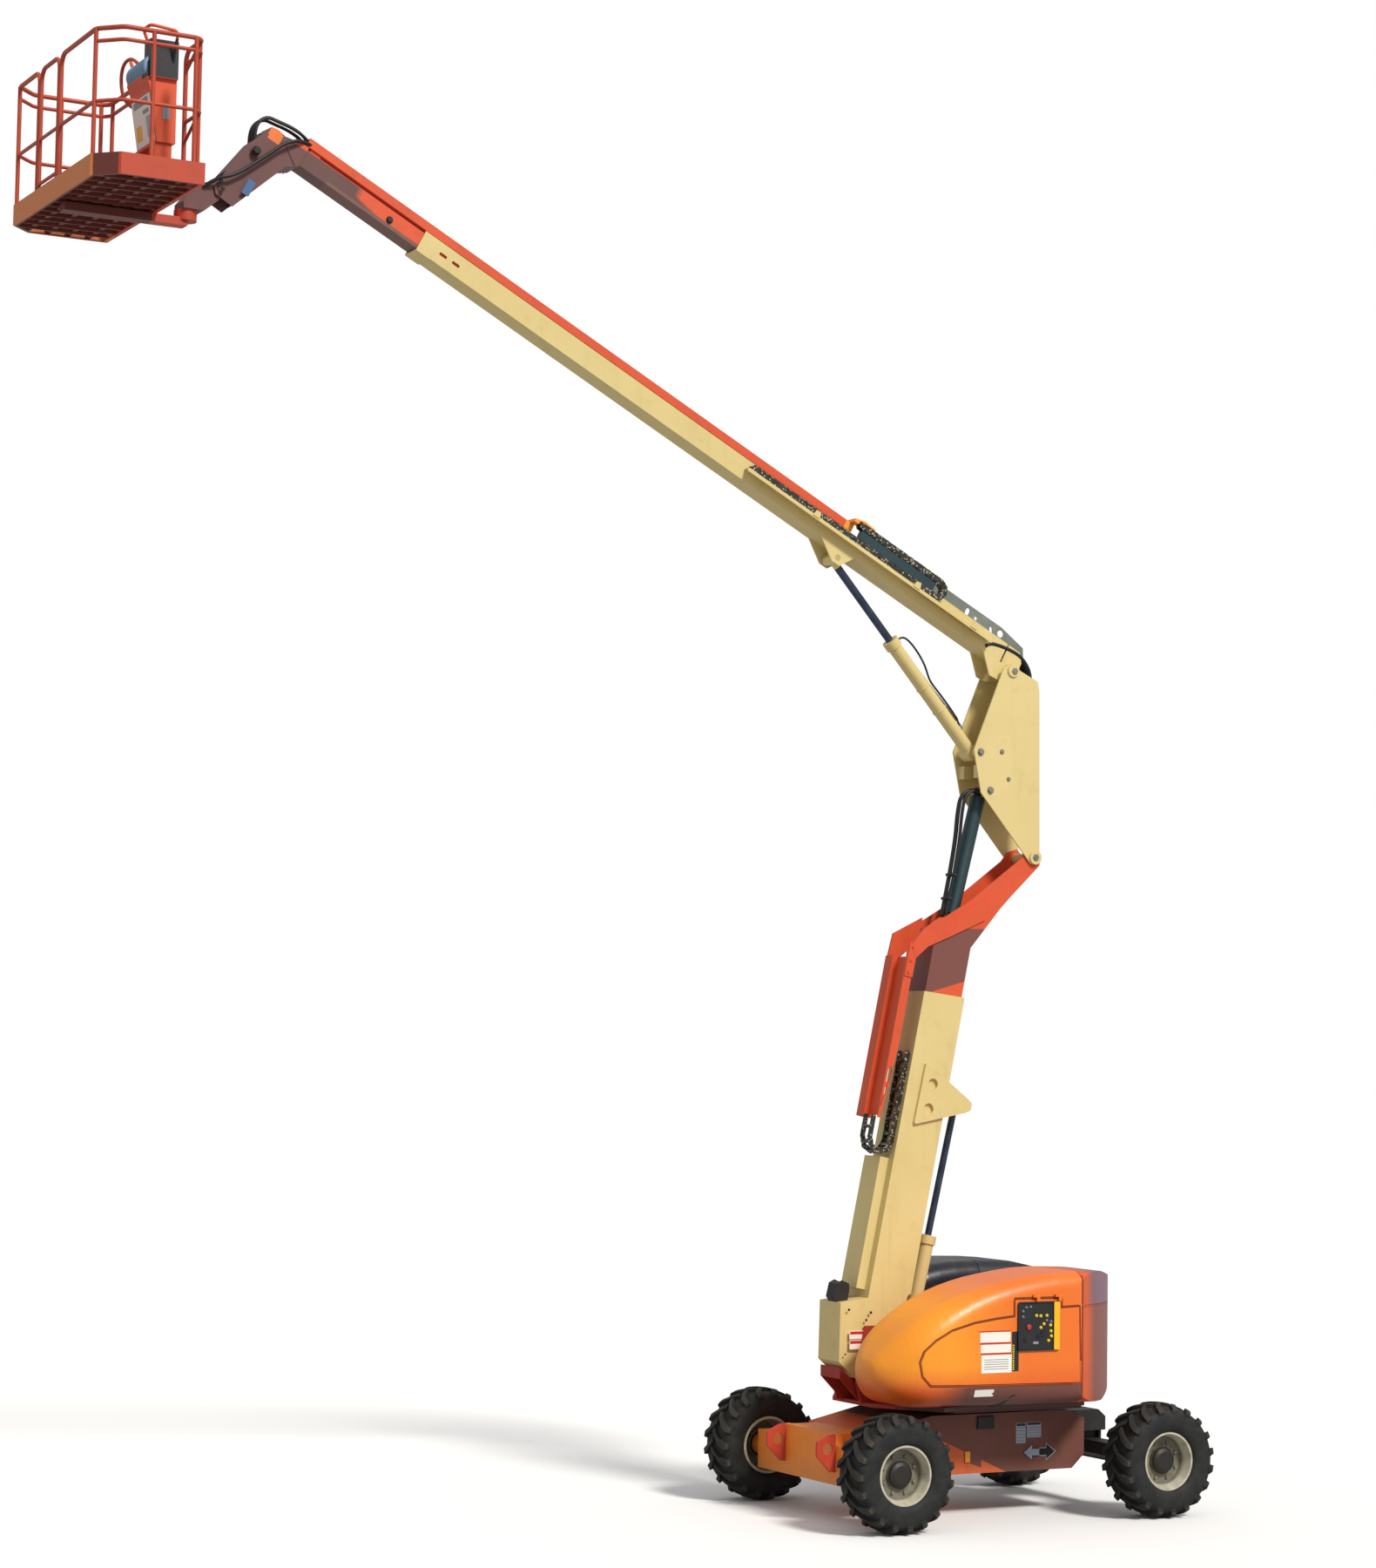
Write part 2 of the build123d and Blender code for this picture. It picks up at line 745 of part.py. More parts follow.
# ---------------------------------------------------------------- tower boom
def make_tower_base():
    """Base section with its rounded foot, and the lug plates and stub pins for the lift cylinder's rod."""
    half = tower_base_width / 2
    low, high = tower_base_low, tower_base_high
    foot = [
        *foot_shoulder, (tower_base_length - 30, low), (tower_base_length, high), (60, high),
        (-60, 270), (-210, 200), (-300, 40), (-331, -84), (-231, -261),
    ]
    lug = [(1745, 15), (2262, 25), (2052, 470), (2022, 524), (1964, 524), (1934, 480)]
    with BuildPart() as base:
        plate(tower, foot, -half, half)
        block(tower, (330, tower_base_length + 40), (low + tower_wall, high - tower_wall),
              (-half + tower_wall, half - tower_wall), Mode.SUBTRACT)
        wear_pads(
            tower, (tower_base_length - 140, tower_base_length - 40), (low + tower_wall, high - tower_wall),
            half - tower_wall, tower_clearance,
        )
        boss(tower, (0, 0), foot_pin_radius + 0.3, -half - 1, half + 1, Mode.SUBTRACT)
        slot = lift_eye_half + 20
        block(tower, (275, 1060), (170, high + 1), (-slot, slot), Mode.SUBTRACT)
        # notch over the lift cylinder's base pin, where the pin lies against the lowered tower
        rise, run = lift_base_z - tower_pivot_z, lift_base_x - tower_pivot_x
        lowered = radians(tower_angle - tower_travel) - atan2(rise, run)
        notch = (hypot(rise, run) * cos(lowered), hypot(rise, run) * sin(lowered))
        boss(tower, notch, lift_pin_radius + 14, -half - 1, half + 1, Mode.SUBTRACT)
        for hand in (-1, 1):
            side_low = half if hand > 0 else -half - lug_proud
            sheet(tower, lug, [((2097, 124), 46), ((1893, 125), 46)], side_low, side_low + lug_proud, 16)
            stub = sorted((hand * (lift_eye_half + 6), hand * (half + lug_proud)))
            boss(tower, (lift_rod_along, lift_rod_across), lift_pin_radius, *stub)
    return base.part


def make_track_cover():
    """Folded box on the tower's front face that guards the hoses above the foot."""
    low = tower_base_low
    near, far = -92.0, 150.0
    skin = 8.0
    with BuildPart() as cover:
        block(tower, (372, 1440), (low - 85, low), (near, far))
        block(tower, (372 + skin, 1450), (low - 85 + skin, low), (near + skin, far - skin), Mode.SUBTRACT)
        block(tower, (360, 560), (low - 60, low - 30), (near + 40, near + 120), Mode.SUBTRACT)
    return cover.part


def make_hose_guide():
    """Moulded guide on the foot's shoulder that turns the hoses up into the cover."""
    low, high = -100.0, 30.0
    (start_along, start_across), (end_along, end_across) = foot_shoulder
    slope = (end_along - start_along) / (end_across - start_across)
    front, back = start_across + 3, start_across + 98
    outline = [
        (start_along + 3 * slope, front), (start_along + 98 * slope, back), (345, back), (392, back - 15),
        (405, front + 12), (372, front - 30), (262, front - 34),
    ]
    channel = [(292, -300), (350, -276), (420, -290), (420, -345), (300, -345)]
    with BuildPart() as guide:
        plate(tower, outline, low, high)
        plate(tower, channel, low + 14, high - 14, Mode.SUBTRACT)
    return guide.part


def make_tower_fly():
    """Sliding section: square tube below, and above it a bent neck of two plates open at the front."""
    half = tower_base_width / 2 - tower_wall - tower_clearance
    low = tower_base_low + tower_wall + tower_clearance
    high = tower_base_high - tower_wall - tower_clearance
    start = tower_base_length - tower_overlap
    skin = 9.0
    neck = [
        (start, low), (3400, low), (3654, 205), (4080, 590), (4170, 640), (4215, 720), (4170, 790),
        (4080, 790), (3757, 562), (3640, 485), (3262, high), (start, high),
    ]
    inside = [
        (3229, low - 20), (3480, low - 20), (3720, 160), (4400, 780), (4300, 900), (4090, 860),
        (4060, 740), (3765, 540), (3652, 466), (3268, high - skin), (3229, high - skin),
    ]
    with BuildPart() as fly:
        plate(tower, neck, -half, half)
        block(tower, (start - 1, 3230), (low + skin, high - skin), (-half + skin, half - skin), Mode.SUBTRACT)
        plate(tower, inside, -half + 16, half - 16, Mode.SUBTRACT)
        boss(tower, (tower_top_along, tower_top_across), top_pin_radius + 0.3, -half - 1, half + 1, Mode.SUBTRACT)
    return fly.part


def make_hose_carrier():
    """Folded carrier on the fly that leads the hoses down the tower's front."""
    fly_half = tower_base_width / 2 - tower_wall - tower_clearance
    fly_low = tower_base_low + tower_wall + tower_clearance
    rail_start, rail_end = 1735.0, 3060.0
    inner = -246.0
    near = -fly_half - 16
    near_arm = [
        (3050, inner), (3050, -320), (3100, -326), (3305, -213), (3438, -78), (3458, 27), (3712, 350),
        (3520, 360), (3312, 59), (3180, -140),
    ]
    far_arm = [(3050, inner), (3050, -342), (3250, -330), (3440, fly_low), (3300, fly_low), (3180, -140)]
    strip = [(rail_start, -320), (rail_end, -320), (rail_end, inner), (2320, inner), (rail_start, -296)]
    keyhole = [(1830, -316), (2130, -300), (2160, -283), (2130, -266), (2060, -272), (1830, -308)]
    joint = [(2900, -316), (3180, -316), (3180, inner + 6), (2900, inner + 6)]
    with BuildPart() as carrier:
        block(tower, (rail_start, rail_end), (-352, inner), (8, 120))
        block(tower, (rail_start - 10, rail_end + 10), (-344, -254), (16, 112), Mode.SUBTRACT)
        plate(tower, strip, near, near + 10)
        plate(tower, keyhole, near - 1, near + 11, Mode.SUBTRACT)
        block(tower, (rail_start + 20, rail_end), (-304, -296), (near + 8, 10))
        for along in (1990, 2400, 2800):
            block(tower, (along, along + 40), (-296, -262), (near + 8, 10))
        plate(tower, near_arm, near, -fly_half)
        plate(tower, joint, near - 8, near)
        for along in (2935, 3035, 3145):
            boss(tower, (along, -282), 12, near - 16, near - 8)
        plate(tower, far_arm, 100, 120)
    return carrier.part


def make_track(plane, along, fixed_across, moving_across, fixed_end, moving_end, across_range, width, pitch):
    """A hose track of links in a U: pairs of cheek plates, inner and outer by turns, with cross bars.

    The fixed run lies at fixed_across, the moving run at moving_across, and the bend is beyond along.
    """
    radius = (moving_across - fixed_across) / 2
    middle = (moving_across + fixed_across) / 2
    turned = 1 if fixed_end > along else -1
    joints = []
    for end, across in ((fixed_end, fixed_across), (moving_end, moving_across)):
        count = round(abs(end - along) / pitch)
        run = [(along + (end - along) * step / count, across) for step in range(count + 1)]
        joints.append(run)
    bends = max(4, round(pi * abs(radius) / pitch))
    arc = []
    for step in range(1, bends):
        angle = pi * step / bends
        arc.append((along - turned * abs(radius) * sin(angle), middle - radius * cos(angle)))
    chain = joints[0][::-1] + arc + joints[1]
    low, high = across_range
    cheek = 5.0
    with BuildPart() as track:
        for parity in (0, 1):
            with BuildSketch(plane) as links:
                for index in range(parity, len(chain) - 1, 2):
                    (ax, ay), (bx, by) = chain[index], chain[index + 1]
                    angle = degrees(atan2(by - ay, bx - ax))
                    with Locations(Location(((ax + bx) / 2, (ay + by) / 2, 0), (0, 0, angle))):
                        SlotCenterToCenter(hypot(bx - ax, by - ay), width)
            with BuildSketch(plane.offset(low)) as bars:
                for index in range(parity, len(chain) - 1, 2):
                    (ax, ay), (bx, by) = chain[index], chain[index + 1]
                    angle = degrees(atan2(by - ay, bx - ax))
                    with Locations(Location(((ax + bx) / 2, (ay + by) / 2, 0), (0, 0, angle))):
                        with Locations((0, width / 2 - 4), (0, 4 - width / 2)):
                            Rectangle(22, 8)
            shift = cheek * parity
            for start in (low + shift, high - shift - cheek):
                extrude(links.sketch.moved(Location(plane.z_dir * start)), amount=cheek)
            extrude(bars.sketch, amount=high - low)
        with BuildSketch(plane.offset(low - 3)) as rivets:
            for centre in chain[1:-1]:
                with Locations(centre):
                    RegularPolygon(8, 6)
        extrude(rivets.sketch, amount=4)
    return track.part


# ---------------------------------------------------------------- cylinders
def make_barrel(start, end, radius, rod_radius, eye, eye_half, pin_radius=0.0, pin_half=0.0):
    """Cylinder barrel: base eye, on request with its pin, a hollow tube and a bored gland."""
    first = Vector(*start)
    last = Vector(*end)
    way = (last - first).normalized()
    mouth = last - way * gland_length
    with BuildPart() as barrel:
        bar(first, mouth, radius)
        bar(mouth, last, radius + 12)
        boss(ground_side, (first.X, first.Z), eye, -eye_half, eye_half)
        if pin_half:
            boss(ground_side, (first.X, first.Z), pin_radius, -pin_half, pin_half)
        bar(first + way * (eye + 30), mouth, radius - 12, Mode.SUBTRACT)
        bar(mouth - way, last + way, rod_radius + 0.3, Mode.SUBTRACT)
    return barrel.part


def make_rod(start, end, radius, eye, eye_half, pin_radius=0.0, pin_half=0.0):
    """Cylinder rod from inside the barrel to its eye."""
    last = Vector(*end)
    with BuildPart() as rod:
        bar(start, end, radius)
        boss(ground_side, (last.X, last.Z), eye, -eye_half, eye_half)
        if pin_half:
            boss(ground_side, (last.X, last.Z), pin_radius, -pin_half, pin_half)
    return rod.part


def wear_pads(plane, along, walls, half, clearance):
    """Four slider pads inside a section's mouth, reaching the sliding section but for a running gap."""
    low, high = walls
    thick = clearance - pad_gap
    for across in ((low, low + thick), (high - thick, high)):
        block(plane, along, across, (-half + 30, half - 30))
    for out in ((-half, -half + thick), (half - thick, half)):
        block(plane, along, (low + 30, high - 30), out)


def toward(start, end, length):
    """Point at a length from start on the way to end."""
    return start + (end - start).normalized() * length


tower_lift_base = Vector(lift_base_x, 0, lift_base_z)
tower_lift_pin = at(tower, lift_rod_along, lift_rod_across)
level_base = at(tower, level_base_along, level_base_across)
level_pin = at(upright, level_pin_x, level_pin_z)
main_lift_base = at(upright, main_lift_x, main_lift_z)
main_lift_pin = at(boom, main_lift_u, main_lift_v)


# ---------------------------------------------------------------- upright
def make_upright():
    """Two tall plates joined by a rear web, with spacer blocks at the front edge."""
    outline = [
        (44, 0), (30, 1377), (12, 1464), (-267, 1592), (-324, 1562), (-611, 866), (-538, 515), (-42, -51),
        (20, -60),
    ]
    half = upright_gap / 2
    holes = [
        ((0, 0), top_pin_radius + 0.3),
        ((main_pivot_x, main_pivot_z), main_pin_radius + 0.3),
        ((-336, 861), 22.0),
        ((-265, 638), 14.0),
    ]
    with BuildPart() as frame:
        for low in (-half - upright_plate, half):
            sheet(upright, outline, holes, low, low + upright_plate)
        for hand in (-1, 1):
            stub = sorted((hand * (level_eye_half + 6), hand * (half + upright_plate)))
            boss(upright, (level_pin_x, level_pin_z), level_pin_radius, *stub)
            lift_stub = sorted((hand * (lift_eye_half + 6), hand * (half + upright_plate)))
            boss(upright, (main_lift_x, main_lift_z), lift_pin_radius, *lift_stub)
            spacer = sorted((hand * (lift_eye_half + 6), hand * half))
            block(upright, (-555, -470), (640, 745), spacer)
        block(upright, (-40, 24), (420, 1250), (-half, half))
    return frame.part


# ---------------------------------------------------------------- main boom
def make_main_base():
    """Base section with pivot cheeks at the rear, the lift cylinder's bracket below and a front collar."""
    half = base_width / 2
    cheek = [
        (320, base_low + 20), (300, base_low), (150, -130), (60, -120), (-40, -62), (-75, 0), (-75, 120),
        (-20, base_high), (320, base_high),
    ]
    lift = [(1720, base_low + 4), (1812, -104), (1892, -104), (2080, base_low + 4)]
    doubler = [(330, base_low + 8), (1150, base_low + 8), (1240, base_low + 60), (1150, 100), (330, 100)]
    slots = (base_length - 330, base_length - 210)
    with BuildPart() as base:
        block(boom, (100, base_length), (base_low, base_high), (-half, half))
        block(boom, (120, base_length + 10), (base_low + base_wall, base_high - base_wall),
              (-half + base_wall, half - base_wall), Mode.SUBTRACT)
        wear_pads(
            boom, (base_length - 110, base_length - 10), (base_low + base_wall, base_high - base_wall),
            half - base_wall, fly_clearance,
        )
        for hand in (-1, 1):
            side_low = half - 16 if hand > 0 else -half
            sheet(boom, cheek, [((0, 0), main_pin_radius + 0.3)], side_low, side_low + 16)
            collar = sorted((hand * half, hand * (upright_gap / 2 - 0.3)))
            with BuildSketch(boom.offset(collar[0])):
                Circle(main_pin_radius + 24)
                Circle(main_pin_radius + 0.3, mode=Mode.SUBTRACT)
            extrude(amount=collar[1] - collar[0])
            rod_hole = ((main_lift_u, main_lift_v), rod_pin_radius + 0.3)
            sheet(boom, lift, [rod_hole], side_low, side_low + 16)
            skin = sorted((hand * half, hand * (half + 5)))
            plate(boom, doubler, *skin)
            lip = sorted((hand * (half - 1), hand * (half + 7)))
            block(boom, (base_length - 130, base_length), (base_low - 7, base_high - 12), lip)
        block(boom, (base_length - 130, base_length), (base_low - 7, base_low), (-half, half))
        block(boom, (100, 116), (base_low, base_high), (-half, half), Mode.SUBTRACT)
        for along in slots:
            with BuildSketch(boom.offset(-half - 1)):
                with Locations((along, (base_low + base_high) / 2)):
                    SlotOverall(70, 26)
            extrude(amount=2 * half + 2, mode=Mode.SUBTRACT)
    return base.part


def make_track_shelf():
    """Shelf along the base's right side that the hose track lies on, with tabs that keep the track on it."""
    half = base_width / 2
    edge = -half - track_width - shelf_margin
    with BuildPart() as shelf:
        block(boom, (300, 2930), (104, 112), (edge, -half))
        block(boom, (300, 2930), (84, 104), (edge, edge + 8))
        for along in (507, 1136, 2218):
            tab = [(along - 34, 98), (along + 34, 98), (along + 22, 150), (along - 22, 150)]
            plate(boom, tab, edge - 6, edge)
    return shelf.part


def make_hose_plate():
    """Tall plate on the left of the base that guards the hoses behind the pivot."""
    half = base_width / 2 + 5
    outline = [(-118, 100), (900, 100), (862, 350), (820, 368), (125, 373), (-140, 330), (-186, 250)]
    with BuildPart() as guard:
        with BuildSketch(boom.offset(half)):
            with BuildLine():
                Polyline(*outline, close=True)
            make_face()
            with Locations((112, 318)):
                Circle(30, mode=Mode.SUBTRACT)
            with Locations((383, 303)):
                Circle(15, mode=Mode.SUBTRACT)
            with Locations((480, 310)):
                SlotOverall(62, 40, rotation=90, mode=Mode.SUBTRACT)
            with Locations((205, 290)):
                SlotOverall(70, 26, rotation=60, mode=Mode.SUBTRACT)
        extrude(amount=6)
        block(boom, (140, 860), (base_high, base_high + 6), (base_width / 2 - 40, half + 1))
    return guard.part


def make_main_fly():
    half = base_width / 2 - base_wall - fly_clearance
    low = base_low + base_wall + fly_clearance
    high = base_high - base_wall - fly_clearance
    end = base_length + fly_stick_out
    with BuildPart() as fly:
        block(boom, (900, end), (low, high), (-half, half))
        block(boom, (890, end + 10), (low + 8, high - 8), (-half + 8, half - 8), Mode.SUBTRACT)
    return fly.part


def make_nose():
    """Nose weldment on the fly's end: two slender side plates bent down to the platform's pivot."""
    end = base_length + fly_stick_out
    half = 118.0
    skin = 12.0
    outline = [
        (end, 14), (7335, -52), (7533, -553), (7690, -548), (7724, -500), (7712, -392), (7636, -14),
        (7600, 70), (7455, 148), (7300, 184), (end, 184),
    ]
    with BuildPart() as nose:
        plate(boom, outline, -half, half)
        plate(boom, offset_outline(outline, skin), -half + skin, half - skin, Mode.SUBTRACT)
        mouth = [(7480, -640), (7800, -640), (7800, -340), (7640, -340), (7500, -520)]
        plate(boom, mouth, -half + skin, half - skin, Mode.SUBTRACT)
        boss(boom, (nose_pivot_u, nose_pivot_v), nose_pin_radius + 0.3, -half - 1, half + 1, Mode.SUBTRACT)
        for hand in (-1, 1):
            pad = sorted((hand * half, hand * (half + 10)))
            boss(boom, (7591, -93), 34, *pad)
            boss(boom, (7591, -93), 20, *sorted((hand * (half + 10), hand * (half + 22))))
            strap = [(7270, -10), (7420, 96), (7390, 138), (7270, 120)]
            plate(boom, strap, *sorted((hand * half, hand * (half + 6))))
        for low in (-70, 30):
            lug = [(7440, 140), (7600, 62), (7606, 96), (7560, 170), (7500, 182), (7446, 172)]
            plate(boom, lug, low, low + 14)
    return nose.part


def make_hose_rail():
    """Push rail over the boom that draws the hose track out with the fly, and its bracket at the rear."""
    end = base_length + fly_stick_out
    fly_top = base_high - base_wall - fly_clearance
    wall = 5.0
    hood = [
        (1690, track_top + 1), (1690, track_top + 9), (1800, track_top + 20), (1896, 292), (1896, rail_high),
        (1850, rail_high), (1850, 282), (1838, track_top + 1),
    ]
    with BuildPart() as rail:
        block(boom, (1850, end + 20), (rail_low, rail_high), (-rail_near, -rail_far))
        block(boom, (1860, end + 21), (rail_low + wall, rail_high - wall), (-rail_near + wall, -rail_far - wall),
              Mode.SUBTRACT)
        block(boom, (end - 120, end - 30), (fly_top, rail_low), (-rail_near + 16, -rail_far - 6))
        plate(boom, hood, -base_width / 2 - track_width - 4, -rail_far)
    return rail.part


# ---------------------------------------------------------------- platform
def make_platform_support():
    """Levelled bracket with the nose pin, which carries the rotator."""
    half = support_half
    outline = [
        (40, -50), (60, 10), (20, 52), (-47, 48), (-179, 5), (-284, -130), (-284, -185), (-120, -185),
    ]
    with BuildPart() as support:
        plate(basket, outline, -half, half)
        boss(basket, (0, 0), nose_pin_radius, -124, 124)
    return support.part


def place(x, y, z):
    """World point at offsets from the platform's pivot."""
    return (nose_pivot.X + x, y, nose_pivot.Z + z)


def platform_plan(inset):
    """Outline of the platform in plan, its two outer corners cut off."""
    half = platform_length / 2 - inset
    inner = nose_pivot.X + platform_inner - inset
    outer = nose_pivot.X + platform_outer + inset
    cut = corner_cut - 0.6 * inset
    return [
        (inner, -half), (inner, half), (outer + cut, half), (outer, half - cut), (outer, -half + cut),
        (outer + cut, -half),
    ]


def make_platform_floor():
    """Floor tray with toe boards, open grating, ribs and the arm down to the rotator."""
    half = platform_length / 2
    skin = 4.0
    floor = platform_floor_z
    level = Plane.XY.offset(nose_pivot.Z + floor)
    grate_bars = 14
    ribs = 4
    with BuildPart() as tray:
        plate(level, platform_plan(0), 0, toe_board)
        plate(level, platform_plan(skin), -1, toe_board + 1, Mode.SUBTRACT)
        plate(level, platform_plan(0), 0, 6)
        plate(level, platform_plan(34), -1, 7, Mode.SUBTRACT)
        pitch = platform_length / grate_bars
        for index in range(1, grate_bars):
            y = -half + index * pitch
            start = platform_outer + max(0.0, abs(y) + 6 - half + corner_cut)
            block(basket, (start, platform_inner), (floor, floor + 30), (y - 6, y + 6))
        for index in range(1, ribs + 1):
            x = platform_outer + index * platform_depth / (ribs + 1)
            reach = half - max(0.0, corner_cut - (x - 20 - platform_outer))
            block(basket, (x - 20, x + 20), (floor + 14, floor + 32), (-reach, reach))
        bar(at(basket, rotator_x, -185.3), at(basket, rotator_x, floor - 20), 85)
        block(basket, (platform_outer + 90, rotator_x), (floor - 60, floor), (-60, 60))
    return tray.part


def make_platform_rails():
    """Bent top rails and mid rails on posts, open at the gate and at the controls."""
    half = platform_length / 2 - rail_radius - 4
    inner = platform_inner - rail_radius - 4
    outer = platform_outer + rail_radius + 4
    cut = corner_cut - 0.6 * rail_radius
    foot = platform_floor_z + toe_board - 60
    top = platform_floor_z + rail_height - rail_radius
    second = top - 90
    toe = platform_floor_z + toe_board
    mid = toe + mid_rail_share * (top - toe)
    stops = ((-1, near_stop, gate_low - 40), (1, far_stop, gate_high + 40))
    thin = rail_radius - 3
    with BuildPart() as rails:
        for hand, inner_stop, outer_stop in stops:
            pipe(
                [
                    place(inner, inner_stop, foot), place(inner, inner_stop, top), place(inner, hand * half, top),
                    place(outer + cut, hand * half, top), place(outer, hand * (half - cut), top),
                    place(outer, outer_stop, top), place(outer, outer_stop, foot),
                ],
                rail_radius,
                rail_bend,
            )
            pipe(
                [
                    place(inner, inner_stop, mid), place(inner, hand * half, mid),
                    place(outer + cut, hand * half, mid), place(outer, hand * (half - cut), mid),
                    place(outer, outer_stop, mid),
                ],
                thin,
                rail_bend,
            )
            pipe(
                [
                    place(inner, inner_stop, second), place(inner, hand * half, second),
                    place(outer + cut, hand * half, second), place(outer, hand * (half - cut), second),
                ],
                thin,
                rail_bend,
            )
            for x, y in (
                (outer, half - cut), (inner, half - rail_bend), ((inner + outer) / 2, half), (inner - 60, half),
            ):
                bar(place(x, hand * y, foot), place(x, hand * y, top), rail_radius - 1)
        for z in (top, mid):
            bar(place(inner, near_stop, z - 150), place(inner, -half + rail_bend, z), thin - 2)
        lug_z = toe + 12
        block(basket, (outer - 14, outer + 14), (lug_z - 12, lug_z), sorted((-gate_low - 14, -gate_low + 40)))
    return rails.part


def make_gate():
    """Entry gate that swings inwards on its stile."""
    outer = platform_outer + rail_radius + 4
    toe = platform_floor_z + toe_board
    base = toe + 12.3
    top = platform_floor_z + rail_height - rail_radius
    with BuildPart() as gate:
        pipe(
            [
                place(outer, gate_low, base),
                place(outer, gate_low, top),
                place(outer, gate_high, top),
                place(outer, gate_high, base),
            ],
            rail_radius - 1,
            rail_bend,
        )
        for z in (base + 30, toe + mid_rail_share * (top - toe)):
            bar(place(outer, gate_low, z), place(outer, gate_high, z), rail_radius - 4)
    return gate.part


def make_console():
    """Control console: a box on its column, with a rolled cover facing the user and two guard hoops."""
    floor = platform_floor_z + 32
    back = platform_inner - 8
    near, far = 440.0, 20.0
    body = [
        (back, 185), (back - 140, 185), (back - 205, 590), (back - 234, 668), (back - 226, 760),
        (back - 186, 832), (back - 110, 868), (back, 868),
    ]
    boxed = [(back - 214, 650), (back - 214, 930), (back, 930), (back, 650)]
    with BuildPart() as console:
        plate(basket, body, far, near)
        block(basket, (back - 150, back - 20), (floor, 185), (near - 110, near - 20))
        block(basket, (back - 150, back - 20), (floor, 185), (far + 20, far + 60))
        plate(basket, boxed, near - 110, near + 26)
        pipe(
            [
                place(back - 40, -near - 10, 760), place(back - 40, -near - 120, 980),
                place(back - 250, -near - 120, 1000), place(back - 250, -near + 40, 1000),
                place(back - 180, -near + 60, 860),
            ],
            12,
            40,
        )
        pipe(
            [
                place(back - 60, -far - 6, 420), place(back - 60, 90, 420), place(back - 150, 110, 860),
                place(back - 200, 20, 880), place(back - 190, -far - 20, 780),
            ],
            12,
            40,
        )
    return console.part


# ---------------------------------------------------------------- assembly
wheels = (
    ("rear_left", rear_x, half_track, 1),
    ("rear_right", rear_x, -half_track, -1),
    ("front_left", front_x, half_track, 1),
    ("front_right", front_x, -half_track, -1),
)
for place_name, x, y, outward in wheels:
    save(make_tyre(x, y), f"tyre_{place_name}")
    save(make_wheel(x, y, outward), f"wheel_{place_name}")

save(make_chassis_frame(), "chassis_frame")
save(make_rear_axle(), "rear_axle")
save(make_axle_cradle(), "axle_cradle")
save(make_steer_axle(), "steer_axle")
save(make_tie_rod(), "tie_rod")
save(make_slew_ring(), "slew_ring")
save(make_turntable_frame(), "turntable_frame")
for side_name, hand in sides.items():
    save(make_knuckle(hand), f"knuckle_{side_name}")
    save(make_counterweight(side_name), f"counterweight_{side_name}")
    save(make_cowl(side_name), f"cowl_{side_name}")
    save(make_hood(side_name), f"hood_{side_name}")
save(make_control_panel(), "control_panel")
save(make_engine(), "engine")
save(make_tank(), "tank")

cheek_outer = cheek_inner + cheek_plate
save(headed_pin(tower, (0, 0), foot_pin_radius, cheek_outer), "tower_foot_pin")
save(make_tower_base(), "tower_base")
save(make_track_cover(), "track_cover")
save(make_hose_guide(), "hose_guide")
save(make_tower_fly(), "tower_fly")
save(make_hose_carrier(), "hose_carrier")
save(make_track(tower, 1575, -122.3, -330, 2300, 1735, (-118, 4), 44, 120), "tower_track")
save(
    make_barrel(
        tower_lift_base, toward(tower_lift_base, tower_lift_pin, 1130), 60, 28, 68, lift_eye_half,
        lift_pin_radius, cheek_outer,
    ),
    "tower_lift_barrel",
)
save(
    make_rod(toward(tower_lift_base, tower_lift_pin, 740), tower_lift_pin, 28, 50, lift_eye_half),
    "tower_lift_rod",
)

top_reach = upright_gap / 2 + upright_plate
save(headed_pin(upright, (0, 0), top_pin_radius, top_reach), "upright_pin")
save(make_upright(), "upright")
fly_inside = tower_base_width / 2 - tower_wall - tower_clearance - 9
save(
    make_barrel(level_base, toward(level_base, level_pin, 1240), 44, 20, 46, fly_inside, 20, fly_inside),
    "level_barrel",
)
save(make_rod(toward(level_base, level_pin, 1000), level_pin, 20, 38, level_eye_half), "level_rod")

save(headed_pin(upright, (main_pivot_x, main_pivot_z), main_pin_radius, top_reach), "main_boom_pin")
save(make_main_base(), "main_base")
save(make_track_shelf(), "track_shelf")
save(make_hose_plate(), "hose_plate")
save(make_main_fly(), "main_fly")
save(make_nose(), "boom_nose")
save(make_hose_rail(), "hose_rail")
track_centre = track_seat + track_depth / 2
track_sides = (-base_width / 2 - track_gap - track_width, -base_width / 2 - track_gap)
save(
    make_track(
        boom, 950, track_centre, track_centre + track_rise, 2880, 1808, track_sides, track_depth, 96,
    ),
    "main_track",
)
save(
    make_barrel(
        main_lift_base, toward(main_lift_base, main_lift_pin, 1186), 57, 32, 66, lift_eye_half,
    ),
    "main_lift_barrel",
)
save(
    make_rod(
        toward(main_lift_base, main_lift_pin, 560), main_lift_pin, 32, 48, 78, rod_pin_radius, base_width / 2,
    ),
    "main_lift_rod",
)

save(make_platform_support(), "platform_support")
save(make_platform_floor(), "platform_floor")
save(make_platform_rails(), "platform_rails")
save(make_gate(), "gate")
save(make_console(), "console")
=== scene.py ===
"""Looks for the articulating boom lift: materials, small details, light and camera. Metres."""

import math

import bmesh
import bpy
from mathutils import Matrix, Vector
from mathutils.bvhtree import BVHTree


